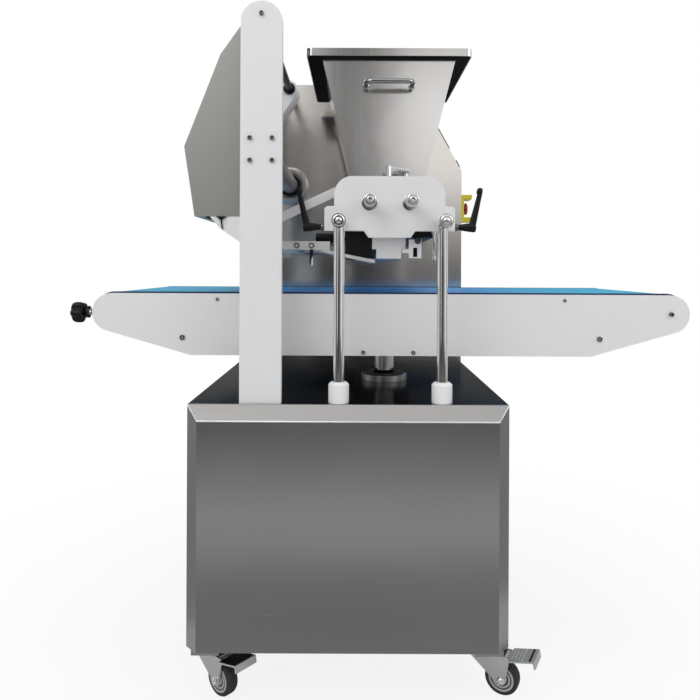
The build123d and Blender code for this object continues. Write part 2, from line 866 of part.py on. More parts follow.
# Head: the two cheeks of the feed body, hollowed round the rollers
roller_room = 0.8
cheek_inset = 1
funnel_mouth = throat_width - 2 * sheet
funnel_neck = 120
funnel_drop = 17  # funnel's lower end over the rollers' axes
funnel_bottom = roller_height + funnel_drop
with BuildPart() as feed_body:
    with BuildSketch(facing(chamber_back)) as cheek_outline:
        with Locations((head_x, (ear_bottom + hopper_seat) / 2)):
            Rectangle(head_width - 2 * cheek_inset, hopper_seat - ear_bottom)
        fillet(cheek_outline.vertices().group_by(Axis.Y)[-1], crown_radius - cheek_inset)
        with Locations(*[(x, roller_height) for x in roller_x]):
            Circle(feed_roller_diameter / 2 + roller_room, mode=Mode.SUBTRACT)
        with BuildLine():
            Polyline(
                (head_x - funnel_mouth / 2, hopper_seat),
                (head_x + funnel_mouth / 2, hopper_seat),
                (head_x + funnel_neck / 2, funnel_bottom),
                (head_x - funnel_neck / 2, funnel_bottom),
                close=True,
            )
        make_face(mode=Mode.SUBTRACT)
        with Locations((head_x, (ear_bottom + funnel_bottom) / 2)):
            Rectangle(outlet_width, funnel_bottom - ear_bottom, mode=Mode.SUBTRACT)
    extrude(amount=chamber_length)
save("feed_body", feed_body)

# Head: bushes of the roller shafts, with bright rims on the front plate
bush_rim = 5
bush_rim_diameter = bush_diameter + 3
with BuildPart() as shaft_bushes:
    for x in roller_x:
        rod((x, head_y, roller_height), (x, chamber_y, roller_height), bush_diameter)
        rod((x, head_y - bush_rim, roller_height), (x, head_y, roller_height), bush_rim_diameter)
        rod((x, chamber_back, roller_height), (x, head_back, roller_height), bush_diameter)
        rod(
            (x, head_y - bush_rim, roller_height),
            (x, head_back, roller_height),
            shaft_diameter + 2 * running_gap,
            Mode.SUBTRACT,
        )
save("shaft_bushes", shaft_bushes)

# Feed rollers: fluted, with their shafts and the gears that make them turn against each other
gear_radius = roller_spacing / 2
tooth_root = 4.6
tooth_half_root = 3.3
tooth_half_tip = 1.5
flute_count = 12
flute_radius = 4
shaft_rounding = 3
tooth_overlap = 0.5
shaft_end_gap = 2
shaft_tail = 4
shaft_ends = [gearbox_y + gearbox_length / 2 - shaft_end_gap, gear_back + shaft_tail]
for name, x, shaft_end in zip(("feed_roller_left", "feed_roller_right"), roller_x, shaft_ends):
    with BuildPart() as feed_roller:
        with BuildSketch(facing(chamber_back - end_gap)):
            with Locations((x, roller_height)):
                Circle(feed_roller_diameter / 2)
                with PolarLocations(feed_roller_diameter / 2, flute_count):
                    Circle(flute_radius, mode=Mode.SUBTRACT)
        extrude(amount=chamber_length - 2 * end_gap)
        with BuildSketch(facing(gear_back)):
            with Locations((x, roller_height)):
                Circle(gear_radius - tooth_root)
                with PolarLocations(gear_radius, gear_tooth_count):
                    Polygon(
                        (-tooth_root - tooth_overlap, -tooth_half_root),
                        (gear_tooth_height, -tooth_half_tip),
                        (gear_tooth_height, tooth_half_tip),
                        (-tooth_root - tooth_overlap, tooth_half_root),
                        align=None,
                    )
        extrude(amount=gear_width)
        shaft_front = head_y - shaft_reach
        rod((x, shaft_front, roller_height), (x, shaft_end, roller_height), shaft_diameter)
        fillet(feed_roller.edges().filter_by(GeomType.CIRCLE).sort_by(Axis.Y)[0], shaft_rounding)
        rod(
            (x, shaft_front, roller_height),
            (x, shaft_front + centre_hole_depth, roller_height),
            centre_hole,
            Mode.SUBTRACT,
        )
    save(name, feed_roller)

# Die holder under the feed body: side block, ceiling plate, and the lug and pin of the latch
die_setback = 14.5
ceiling_reach = 105
outlet_margin = 20
latch_offset = 66  # latch pin from the head's middle
latch_pin_drop = 8
latch_pin_diameter = 6
latch_pin_proud = 3
latch_lug_width = 16
latch_lug_depth = 10
latch_thickness = 6
clamp_drop = 15
clamp_setback = 22
clamp_stud = 8
die_y = chamber_y + die_setback
die_back = die_y + die_length
latch_pin = (head_x + latch_offset, die_ceiling - latch_pin_drop)
clamp_z = ear_bottom - clamp_drop
clamp_y = die_y + clamp_setback
with BuildPart() as side_block:
    block(
        (head_x - side_block_reach, head_x - die_width / 2),
        (die_y, die_back),
        (die_bottom + end_gap, ear_bottom),
    )
    rod(
        (head_x - side_block_reach, clamp_y, clamp_z),
        (head_x - die_width / 2, clamp_y, clamp_z),
        clamp_stud + 2 * running_gap,
        Mode.SUBTRACT,
    )
with BuildPart() as ceiling_plate:
    block((head_x - die_width / 2, head_x + ceiling_reach), (die_y, die_back), (die_ceiling, ear_bottom))
    block(
        (head_x - outlet_width / 2, head_x + outlet_width / 2),
        (die_y + outlet_margin, die_back - outlet_margin),
        (die_ceiling, ear_bottom),
        Mode.SUBTRACT,
    )
with BuildPart() as latch_lug:
    block(
        (latch_pin[0] - latch_lug_width / 2, latch_pin[0] + latch_lug_width / 2),
        (die_y, die_y + latch_lug_depth),
        (latch_pin[1] - latch_lug_width / 2, die_ceiling),
    )
    rod(
        (latch_pin[0], die_y - latch_thickness - latch_pin_proud, latch_pin[1]),
        (latch_pin[0], die_y, latch_pin[1]),
        latch_pin_diameter,
    )
save("die_holder", side_block, ceiling_plate, latch_lug)

# Die: its body and the narrower nozzle bar, with a row of round nozzles through both
with BuildPart() as die_body:
    block((head_x - die_width / 2, head_x + die_width / 2), (die_y, die_back), (die_step, die_ceiling))
with BuildPart() as nozzle_bar:
    block(
        (head_x - nozzle_bar_width / 2, head_x + nozzle_bar_width / 2),
        (die_y, die_back),
        (die_bottom, die_step),
    )
for piece, bottom, top in ((die_body, die_step, die_ceiling), (nozzle_bar, die_bottom, die_step)):
    with piece:
        for step in range(nozzle_count):
            nozzle_y = (die_y + die_back) / 2 + (step - (nozzle_count - 1) / 2) * nozzle_pitch
            rod((head_x, nozzle_y, bottom), (head_x, nozzle_y, top), nozzle_diameter, Mode.SUBTRACT)
save("die_block", die_body, nozzle_bar)

# Die latch: slotted plate on the lug's pin, with a finger under the die's step
latch_width = 29
latch_drop = 43
latch_ear = 20  # plate's left edge from its pin
latch_crest = 3  # plate's top over its pin, less half its height
latch_slot_drop = 5
latch_slot_width = 9.7
latch_slot_height = 21.5
finger_reach = 15
finger_height = 9
finger_width = 6
finger_depth = 8
latch_left = latch_pin[0] - latch_ear
latch_y = die_y - end_gap
with BuildPart() as die_latch:
    with BuildSketch(facing(latch_y)):
        with Locations((latch_left + latch_width / 2, latch_pin[1] - latch_drop / 2 + latch_crest)):
            Rectangle(latch_width, latch_drop)
        with Locations((latch_left + latch_width / 2, latch_pin[1] - latch_drop / 2 - latch_slot_drop)):
            Rectangle(latch_slot_width, latch_slot_height, mode=Mode.SUBTRACT)
        with Locations(latch_pin):
            Circle(latch_pin_diameter / 2 + running_gap, mode=Mode.SUBTRACT)
    extrude(amount=latch_thickness)
    finger_z = (die_step - sliding_gap - finger_height, die_step - sliding_gap)
    block((latch_left - finger_reach, latch_left), (latch_y - latch_thickness, latch_y), finger_z)
    block(
        (latch_left - finger_reach, latch_left - finger_reach + finger_width),
        (latch_y, die_y + finger_depth),
        finger_z,
    )
save("die_latch", die_latch)

# Black knob that clamps the die through the side block
clamp_knob_diameter = 23
clamp_knob_length = 41
clamp_knob_gap = 28
clamp_stud_gap = 10
clamp_rounding = 3
with BuildPart() as die_clamp_knob:
    clamp_x = head_x - side_block_reach - clamp_knob_gap
    clamp_end = clamp_x - clamp_knob_length
    rod((clamp_end, clamp_y, clamp_z), (clamp_x, clamp_y, clamp_z), clamp_knob_diameter)
    fillet(die_clamp_knob.edges().filter_by(GeomType.CIRCLE), clamp_rounding)
    rod((clamp_x, clamp_y, clamp_z), (head_x - die_width / 2 - clamp_stud_gap, clamp_y, clamp_z), clamp_stud)
save("die_clamp_knob", die_clamp_knob)

# Clamping levers on both ears: stud, hub and a tapered arm that leans outwards
lever_root_diameter = 17
lever_tip_diameter = 10
lever_collar_diameter = 16
lever_collar_length = 8
for name, side in (("clamp_lever_left", -1), ("clamp_lever_right", 1)):
    ear_x = head_x + side * ear_width / 2
    hub_x = ear_x + side * lever_hub_length
    arm_root = (hub_x - side * lever_root_diameter / 2, lever_y, lever_height)
    arm_lean = (side * sin(radians(lever_lean)), 0, cos(radians(lever_lean)))
    with BuildPart() as clamp_lever:
        stud_x = ear_x - side * (lever_grip - end_gap)
        collar_x = ear_x + side * lever_collar_length
        rod((stud_x, lever_y, lever_height), (ear_x, lever_y, lever_height), lever_stud_diameter)
        rod((ear_x, lever_y, lever_height), (collar_x, lever_y, lever_height), lever_collar_diameter)
        rod((collar_x, lever_y, lever_height), (hub_x, lever_y, lever_height), lever_hub_diameter)
        with Locations(Plane(origin=arm_root, z_dir=arm_lean)):
            Cone(
                lever_root_diameter / 2,
                lever_tip_diameter / 2,
                lever_arm_length,
                align=(Align.CENTER, Align.CENTER, Align.MIN),
            )
    save(name, clamp_lever)

# Hopper's tapered outside, which its walls, foot and seal follow
rim_y = hopper_y - rim_front_flange
rim_back = hopper_back + rim_back_flange
rim_length = rim_back - rim_y
rim_middle = (head_x, (rim_y + rim_back) / 2)
mouth_middle = (head_x, (hopper_y + hopper_back) / 2)
mouth_width = rim_width - 2 * rim_flange
hopper_length = hopper_back - hopper_y
with BuildPart() as hopper_outside:
    with BuildSketch(facing(hopper_back)):
        with BuildLine():
            Polyline(
                (head_x - throat_width / 2, hopper_seat),
                (head_x + throat_width / 2, hopper_seat),
                (head_x + mouth_width / 2, rim_height),
                (head_x - mouth_width / 2, rim_height),
                close=True,
            )
        make_face()
    extrude(amount=hopper_length)

# Hopper: walls, rim with a skirt, foot on the feed body, and a handle at each end
handle_bend = 14.4
with BuildPart() as hopper_walls:
    add(hopper_outside.part)
    offset(amount=-sheet, openings=hopper_walls.faces().filter_by(Axis.Z))
    block(
        (head_x - rim_width / 2, head_x + rim_width / 2),
        (rim_y, rim_back),
        (rim_height - sheet, rim_height),
        Mode.SUBTRACT,
    )
with BuildPart() as hopper_rim:
    with BuildSketch(Plane.XY.offset(rim_height - sheet)):
        with Locations(rim_middle):
            RectangleRounded(rim_width, rim_length, rim_corner)
        with Locations(mouth_middle):
            Rectangle(mouth_width - 2 * sheet, hopper_length - 2 * sheet, mode=Mode.SUBTRACT)
    extrude(amount=sheet)
    with BuildSketch(Plane.XY.offset(rim_height - rim_skirt)):
        with Locations(rim_middle):
            RectangleRounded(rim_width, rim_length, rim_corner)
            RectangleRounded(
                rim_width - 2 * sheet,
                rim_length - 2 * sheet,
                rim_corner - sheet,
                mode=Mode.SUBTRACT,
            )
    extrude(amount=rim_skirt)
with BuildPart() as hopper_foot:
    with BuildSketch(Plane.XY.offset(hopper_seat)):
        with Locations(mouth_middle):
            Rectangle(foot_width, hopper_length + 2 * foot_lip)
    extrude(amount=foot_thickness)
    add(hopper_outside.part, mode=Mode.SUBTRACT)
handle_pieces = []
for wall_y, outward in ((hopper_y, -1), (hopper_back, 1)):
    with BuildPart() as hopper_handle:
        with BuildLine() as handle_path:
            FilletPolyline(
                (head_x - handle_width / 2, wall_y, handle_height),
                (head_x - handle_width / 2, wall_y + outward * handle_reach, handle_height),
                (head_x + handle_width / 2, wall_y + outward * handle_reach, handle_height),
                (head_x + handle_width / 2, wall_y, handle_height),
                radius=handle_bend,
            )
        with BuildSketch(Plane(origin=handle_path.line @ 0, z_dir=handle_path.line % 0)):
            Circle(handle_diameter / 2)
        sweep()
    handle_pieces.append(hopper_handle)
save("hopper", hopper_walls, hopper_rim, hopper_foot, *handle_pieces)

# Black seal that fills the rim from below
with BuildPart() as hopper_rim_seal:
    with BuildSketch(Plane.XY.offset(rim_height - rim_skirt)):
        with Locations(rim_middle):
            RectangleRounded(rim_width - 2 * sheet, rim_length - 2 * sheet, rim_corner - sheet)
    extrude(amount=rim_skirt - sheet)
    add(hopper_outside.part, mode=Mode.SUBTRACT)
save("hopper_rim_seal", hopper_rim_seal)

# Lock pin in the front plate's top edge, whose arm holds the hopper's foot down
lock_arm = 13
lock_arm_z = lock_height - lock_arm / 2
lock_way = (cos(radians(lock_heading)), sin(radians(lock_heading)))
lock_tip = (lock_x + lock_reach * lock_way[0], lever_y + lock_reach * lock_way[1])
lock_foot = 9
with BuildPart() as hopper_lock:
    rod((lock_x, lever_y, head_top - lock_seat + end_gap), (lock_x, lever_y, lock_height), lock_diameter)
    rod((lock_x, lever_y, lock_arm_z), (*lock_tip, lock_arm_z), lock_arm)
    foot_place = (lock_tip[0] - lock_foot / 2 * lock_way[0], lock_tip[1] - lock_foot / 2 * lock_way[1])
    rod((*foot_place, hopper_seat + foot_thickness + sliding_gap), (*foot_place, lock_arm_z), lock_foot)
save("hopper_lock", hopper_lock)

# Cutter frame: two flat bars, the tube between them and the drive arm into the housing
bar_overhang = 58.5  # front bar left of the upright's middle
rear_bar_overhang = 110
bar_end_reach = 136  # bars' right ends from the head's middle
bar_setback = 4
rear_strip_gap = 1.5
arm_reach = 40  # drive arm inside the housing
cutter_tube_diameter = 18
bar_left = upright_x - bar_overhang
rear_bar_left = upright_x - rear_bar_overhang
bar_right = head_x - bar_end_reach
bar_y = chamber_y + bar_setback
strip_y = bar_y + bar_thickness
rear_strip_y = die_back + rear_strip_gap
rear_bar_y = rear_strip_y + strip_thickness
bar_z = (bar_height - bar_section / 2, bar_height + bar_section / 2)
arm_end = housing_y + sheet + arm_reach
with BuildPart() as cutter_bars:
    block((bar_left, bar_right), (bar_y, strip_y), bar_z)
    block((rear_bar_left, bar_right), (rear_bar_y, rear_bar_y + bar_thickness), bar_z)
with BuildPart() as cutter_tube:
    rod((arm_x, strip_y, bar_height), (arm_x, rear_bar_y, bar_height), cutter_tube_diameter)
with BuildPart() as cutter_arm:
    rod((arm_x, rear_bar_y + bar_thickness, bar_height), (arm_x, arm_end, bar_height), arm_diameter)
save("cutter_frame", cutter_bars, cutter_tube, cutter_arm)

# Cutter strips: curved springs on the bars that stretch the wire, with bolts and a hanging grip
strip_reach = 215  # strip's left end from the head's middle
strip_bend_reach = 172
strip_tip_reach = 32
strip_dip = 17  # curve's fall at its middle
wire_inset = 4
strip_bolt_reach = (212, 178)
strip_bolt_head = 12
strip_bolt_height = 4
grip_diameter = 6
grip_length = 36
strip_start = head_x - strip_reach
strip_bend = head_x - strip_bend_reach
strip_end = head_x - strip_tip_reach
wire_x = strip_end - wire_inset
bolt_x = [head_x - reach for reach in strip_bolt_reach]
with BuildPart() as cutter_strips:
    for y in (strip_y, rear_strip_y):
        with BuildSketch(facing(y + strip_thickness)):
            low = wire_height - strip_section / 2
            high = bar_height - bar_section / 2
            with BuildLine():
                bend_x = (strip_bend + strip_end) / 2
                ThreePointArc((strip_bend, high), (bend_x, high - strip_dip), (strip_end, low))
                Line((strip_end, low), (strip_end, low + strip_section))
                ThreePointArc(
                    (strip_end, low + strip_section),
                    (bend_x, high - strip_dip + strip_section),
                    (strip_bend, high + strip_section),
                )
                Line((strip_bend, high + strip_section), (strip_start, high + strip_section))
                Line((strip_start, high + strip_section), (strip_start, high))
                Line((strip_start, high), (strip_bend, high))
            make_face()
        extrude(amount=strip_thickness)
    for x in bolt_x:
        rod((x, bar_y - strip_bolt_height, bar_height), (x, bar_y, bar_height), strip_bolt_head)
with BuildPart() as cutter_wire:
    rod((wire_x, strip_y + strip_thickness, wire_height), (wire_x, rear_strip_y, wire_height), wire_diameter)
with BuildPart() as cutter_grip:
    grip_x = bolt_x[1]
    grip_y = bar_y + bar_thickness / 2
    rod((grip_x, grip_y, bar_z[0] - grip_length), (grip_x, grip_y, bar_z[0]), grip_diameter)
save("cutter_strips", cutter_strips, cutter_wire, cutter_grip)

# Cutter guides: hangers on the cross beam that the bars slide through, and a diagonal brace to the head
guide_width = 40
guide_thickness = 20
guide_foot = 7.5  # hanger below the bar
guide_bottom = bar_z[0] - guide_foot
ring_wall = 7
ring_radius = beam_diameter / 2 + ring_wall
rear_guide_shift = -32  # the rear hanger stands beside the beam and clamps it from the left
brace_width = 21
brace_thickness = 8
brace_drop = 153  # brace's lower end below the cross beam
brace_low = beam_height - brace_drop
brace_slope = 25.2
guide_pieces = []
for y, shift in ((bar_y + bar_thickness / 2, 0), (rear_bar_y + bar_thickness / 2, rear_guide_shift)):
    guide_x = (upright_x + shift - guide_width / 2, upright_x + shift + guide_width / 2)
    with BuildPart() as hanger:
        with BuildSketch(facing(y + guide_thickness / 2)):
            with Locations((upright_x, beam_height)):
                Circle(ring_radius)
            with Locations((upright_x + shift, (guide_bottom + beam_height) / 2)):
                Rectangle(guide_width, beam_height - guide_bottom)
            with Locations((upright_x, beam_height)):
                Circle(beam_diameter / 2, mode=Mode.SUBTRACT)
            if shift:
                with Locations((guide_x[1], beam_height)):
                    Rectangle(
                        2 * ring_radius,
                        2 * ring_radius,
                        align=(Align.MIN, Align.CENTER),
                        mode=Mode.SUBTRACT,
                    )
        extrude(amount=guide_thickness)
        block(
            guide_x,
            (y - bar_thickness / 2 - sliding_gap, y + bar_thickness / 2 + sliding_gap),
            (bar_z[0] - sliding_gap, bar_z[1] + sliding_gap),
            Mode.SUBTRACT,
        )
    guide_pieces.append(hanger)
brace_y = bar_y + bar_thickness / 2 + guide_thickness / 2
cheek_x = head_x - head_width / 2 + cheek_inset
brace_rise = (cheek_x - upright_x) * tan(radians(brace_slope))
brace_half = brace_width / 2 / cos(radians(brace_slope))
with BuildPart() as cutter_brace:
    with BuildSketch(facing(brace_y + brace_thickness)):
        with BuildLine():
            Polyline(
                (upright_x, brace_low - brace_half),
                (cheek_x, brace_low + brace_rise - brace_half),
                (cheek_x, brace_low + brace_rise + brace_half),
                (upright_x, brace_low + brace_half),
                close=True,
            )
        make_face()
        with Locations((upright_x, brace_low)):
            Circle(brace_width / 2)
    extrude(amount=brace_thickness)
save("cutter_guides", *guide_pieces, cutter_brace)

# Conveyor: white side plates with round ends, pockets for the tension blocks and bores for the drive roller
axle_reach = conveyor_length / 2 - end_radius
tail_x = conveyor_x - axle_reach
drive_x = conveyor_x + axle_reach
pocket_depth = 12
plate_faces = ((conveyor_y, conveyor_inner), (conveyor_inner_back, conveyor_back))
knob_y = [conveyor_y + side_plate / 2, conveyor_back - side_plate / 2]
with BuildPart() as conveyor_side_plates:
    for front, back in plate_faces:
        with BuildSketch(facing(back)) as plate_outline:
            with Locations((tail_x, belt_roller_height), (drive_x, belt_roller_height)):
                Circle(end_radius)
            with Locations((conveyor_x, conveyor_bottom)):
                Rectangle(conveyor_flat, end_radius, align=(Align.CENTER, Align.MIN))
            make_hull(plate_outline.edges())
        extrude(amount=side_plate)
    for inner, inward in ((conveyor_inner, -1), (conveyor_inner_back, 1)):
        block(
            (tail_x - block_thread - sliding_gap, tail_x + block_size / 2 + tension_travel + sliding_gap),
            sorted((inner, inner + inward * pocket_depth)),
            (
                belt_roller_height - block_size / 2 - sliding_gap,
                belt_roller_height + block_size / 2 + sliding_gap,
            ),
            Mode.SUBTRACT,
        )
    rod(
        (drive_x, conveyor_y, belt_roller_height),
        (drive_x, conveyor_back, belt_roller_height),
        roller_axle + 2 * running_gap,
        Mode.SUBTRACT,
    )
    for y in knob_y:
        rod(
            (conveyor_x - conveyor_length / 2, y, belt_roller_height),
            (tail_x, y, belt_roller_height),
            knob_stud + 2 * running_gap,
            Mode.SUBTRACT,
        )
save("conveyor_side_plates", conveyor_side_plates)

# Conveyor: slider bed under the belt's upper run, with its two flanges on the side plates
belt_y = (conveyor_inner + belt_inset, conveyor_inner_back - belt_inset)
bed_gap = 20
bed_top = belt_roller_height + belt_radius - belt_thickness
bed_x = (tail_x + end_radius + bed_gap, drive_x - end_radius - bed_gap)
with BuildPart() as bed_sheet:
    block(bed_x, (conveyor_inner, conveyor_inner_back), (bed_top - bed_thickness, bed_top))
with BuildPart() as bed_flanges:
    for y in (conveyor_inner, conveyor_inner_back - bed_thickness):
        block(bed_x, (y, y + bed_thickness), (bed_top - bed_thickness - bed_flange, bed_top - bed_thickness))
save("belt_bed", bed_sheet, bed_flanges)

# Conveyor: endless belt round the two rollers
with BuildPart() as conveyor_belt:
    with BuildSketch(facing(belt_y[1])):
        with Locations((conveyor_x, belt_roller_height)):
            SlotCenterToCenter(2 * axle_reach, 2 * belt_radius)
            SlotCenterToCenter(2 * axle_reach, 2 * (belt_radius - belt_thickness), mode=Mode.SUBTRACT)
    extrude(amount=belt_y[1] - belt_y[0])
save("conveyor_belt", conveyor_belt)

# Conveyor: cross rods, the lift's cross member, and screw heads on both side plates
rod_reach = 484  # rods from the conveyor's middle
rod_rise = 41
rod_screw = 13
member_width = 160
member_height = 23
member_screw_reach = 58
member_screw_rise = 8
member_screw = 10
bed_screw_reach = 403
bed_screw_drop = 12
bed_screw = 8
screw_proud = 3
rod_places = [(conveyor_x + side * rod_reach, conveyor_bottom + rod_rise) for side in (-1, 1)]
bed_screws = [(conveyor_x + side * bed_screw_reach, bed_top - bed_screw_drop) for side in (-1, 1)]
member_screws = [
    (lift_x + side * member_screw_reach, conveyor_bottom + member_screw_rise) for side in (-1, 1)
]
screw_sizes = [(place, rod_screw) for place in rod_places]
screw_sizes += [(place, bed_screw) for place in bed_screws]
screw_sizes += [(place, member_screw) for place in member_screws]
with BuildPart() as cross_rods:
    for x, z in rod_places:
        rod((x, conveyor_inner, z), (x, conveyor_inner_back, z), rod_diameter)
with BuildPart() as lift_member:
    block(
        (lift_x - member_width / 2, lift_x + member_width / 2),
        (conveyor_inner, conveyor_inner_back),
        (conveyor_bottom, conveyor_bottom + member_height),
    )
with BuildPart() as plate_screws:
    for (x, z), head in screw_sizes:
        rod((x, conveyor_y - screw_proud, z), (x, conveyor_y, z), head)
        rod((x, conveyor_back, z), (x, conveyor_back + screw_proud, z), head)
save("conveyor_rods", cross_rods, lift_member, plate_screws)

# Lift ram with its wide sleeve under the conveyor
ram_gap = 20  # under the ram
ram_bottom = lift_box_top + ram_gap
lift_sleeve_bottom = conveyor_bottom - lift_sleeve_length
with BuildPart() as lift_ram:
    rod((lift_x, lift_y, ram_bottom), (lift_x, lift_y, conveyor_bottom), ram_diameter)
    rod((lift_x, lift_y, lift_sleeve_bottom), (lift_x, lift_y, conveyor_bottom), lift_sleeve_diameter)
save("lift_ram", lift_ram)

# Drive roller with its journals in the side plates
belt_roller_radius = belt_radius - belt_thickness - sliding_gap
with BuildPart() as drive_roller:
    drive_body = [(drive_x, y, belt_roller_height) for y in belt_y]
    drive_axle = [(drive_x, y, belt_roller_height) for y in (conveyor_y, conveyor_back)]
    rod(*drive_body, 2 * belt_roller_radius)
    rod(*drive_axle, roller_axle)
save("drive_roller", drive_roller)

# Tension blocks that carry the tail roller and slide in the side plates' pockets
block_proud = 8
block_faces = (
    (conveyor_inner - pocket_depth + sliding_gap, conveyor_inner + block_proud),
    (conveyor_inner_back - block_proud, conveyor_inner_back + pocket_depth - sliding_gap),
)
axle_end_gap = 4
axle_ends = (block_faces[0][0] + axle_end_gap, block_faces[1][1] - axle_end_gap)
with BuildPart() as tension_blocks:
    for front, back in block_faces:
        block(
            (tail_x - block_thread, tail_x + block_size / 2),
            (front, back),
            (belt_roller_height - block_size / 2, belt_roller_height + block_size / 2),
        )
    rod(
        (tail_x, axle_ends[0], belt_roller_height),
        (tail_x, axle_ends[1], belt_roller_height),
        roller_axle + 2 * running_gap,
        Mode.SUBTRACT,
    )
    for y in knob_y:
        rod(
            (tail_x - block_thread, y, belt_roller_height),
            (tail_x, y, belt_roller_height),
            knob_stud + 2 * running_gap,
            Mode.SUBTRACT,
        )
save("tension_blocks", tension_blocks)

# Tail roller with its axle in the tension blocks
with BuildPart() as tail_roller:
    tail_body = [(tail_x, y, belt_roller_height) for y in belt_y]
    tail_axle = [(tail_x, y, belt_roller_height) for y in axle_ends]
    rod(*tail_body, 2 * belt_roller_radius)
    rod(*tail_axle, roller_axle)
save("tail_roller", tail_roller)

# Lobed tension knobs with their screws
lobe_count = 6
lobe_radius = 7
lobe_height = 3
knob_rounding = 2.5
knob_neck = 28
knob_neck_length = 11
knob_collar = 15
plate_end = conveyor_x - conveyor_length / 2
knob_x = plate_end - knob_reach
for name, y in zip(("tension_knob_front", "tension_knob_rear"), knob_y):
    with BuildPart() as tension_knob:
        with BuildSketch(Plane.YZ.offset(knob_x)):
            with Locations((y, belt_roller_height)):
                Circle(knob_diameter / 2 - lobe_height)
                with PolarLocations(knob_diameter / 2 - lobe_radius, lobe_count):
                    Circle(lobe_radius)
        extrude(amount=knob_length)
        fillet(tension_knob.edges().group_by(Axis.X)[0], knob_rounding)
        knob_back = knob_x + knob_length
        neck_end = knob_back + knob_neck_length
        rod((knob_back, y, belt_roller_height), (neck_end, y, belt_roller_height), knob_neck)
        rod(
            (neck_end, y, belt_roller_height),
            (plate_end - sliding_gap, y, belt_roller_height),
            knob_collar,
        )
        rod(
            (plate_end - sliding_gap, y, belt_roller_height),
            (tail_x - roller_axle / 2 - end_gap, y, belt_roller_height),
            knob_stud,
        )
    save(name, tension_knob)

# Casters: swivel mounts at the front, rigid forks at the rear
wheel_radius = wheel_diameter / 2
front_caster_y = panel_y + front_caster_depth
rear_caster_y = panel_y + cabinet_depth - rear_caster_inset
mount_bottom = caster_height - mount_plate_thickness
race_height = 10
crown_thickness = 7.7
race_diameter = 44
kingpin_head = 20
kingpin_head_height = 8
axle_head = 15
axle_head_height = 3.5
leg_boss = 11
rigid_leg_width = 52
rigid_leg_shoulder = 12
crown_top = mount_bottom - race_height
crown_bottom = crown_top - crown_thickness
kingpin_bottom = crown_bottom - kingpin_head_height
leg_y = (fork_gap / 2, fork_gap / 2 + fork_plate)
with BuildPart() as swivel_mounts:
    for x in rail_x:
        block(
            (x - mount_plate_width / 2, x + mount_plate_width / 2),
            (front_caster_y - mount_plate_length / 2, front_caster_y + mount_plate_length / 2),
            (mount_bottom, caster_height),
        )
        rod((x, front_caster_y, crown_top + sliding_gap), (x, front_caster_y, mount_bottom), race_diameter)
        rod((x, front_caster_y, kingpin_bottom), (x, front_caster_y, mount_bottom), kingpin_diameter)
        rod(
            (x, front_caster_y, kingpin_bottom),
            (x, front_caster_y, crown_bottom - sliding_gap),
            kingpin_head,
        )
rigid_pieces = []
for x in rail_x:
    with BuildPart() as rigid_fork:
        block(
            (x - mount_plate_width / 2, x + mount_plate_width / 2),
            (rear_caster_y - mount_plate_length / 2, rear_caster_y + mount_plate_length / 2),
            (mount_bottom, caster_height),
        )
        for side in (-1, 1):
            leg_x = sorted((x + side * leg_y[0], x + side * leg_y[1]))
            with BuildSketch(Plane.YZ.offset(leg_x[0])) as rigid_leg:
                with Locations((rear_caster_y, wheel_radius)):
                    Circle(leg_boss)
                with Locations((rear_caster_y, mount_bottom)):
                    Rectangle(rigid_leg_width, rigid_leg_shoulder, align=(Align.CENTER, Align.MAX))
                make_hull(rigid_leg.edges())
            extrude(amount=fork_plate)
        rod(
            (x - leg_y[1] - axle_head_height, rear_caster_y, wheel_radius),
            (x - leg_y[1], rear_caster_y, wheel_radius),
            axle_head,
        )
        rod(
            (x + leg_y[1], rear_caster_y, wheel_radius),
            (x + leg_y[1] + axle_head_height, rear_caster_y, wheel_radius),
            axle_head,
        )
        rod(
            (x - leg_y[1], rear_caster_y, wheel_radius),
            (x + leg_y[1], rear_caster_y, wheel_radius),
            axle_diameter,
        )
    rigid_pieces.append(rigid_fork)
save("caster_mounts", swivel_mounts, *rigid_pieces)

# Front casters: forks, wheels and brake pedals, drawn along each caster's heading
pedal_pin = 52
pedal_pin_height = crown_bottom
pedal_pin_diameter = 6
pedal_barrel = 13
pedal_reach = 120
pedal_width = 58
pedal_tilt = 12
pedal_plate = 4
pedal_lip = 12
pedal_offset = 1  # plate over its pin's middle
pedal_neck_gap = 2
fork_tail = 24
fork_nose = 60
fork_shoulder = 14
hub_diameter = 24
tread_rounding = 5


def wheel(plane, trail):
    """A caster wheel about an axle along the plane's Y, with rounded tread edges and a hub."""
    with BuildPart(plane) as caster_wheel:
        rod((trail, -wheel_width / 2, wheel_radius), (trail, wheel_width / 2, wheel_radius), wheel_diameter)
        fillet(caster_wheel.edges().filter_by(GeomType.CIRCLE), tread_rounding)
        hub_half = fork_gap / 2 - sliding_gap
        rod((trail, -hub_half, wheel_radius), (trail, hub_half, wheel_radius), hub_diameter)
        rod(
            (trail, -hub_half, wheel_radius),
            (trail, hub_half, wheel_radius),
            axle_diameter + 2 * running_gap,
            Mode.SUBTRACT,
        )
    return caster_wheel


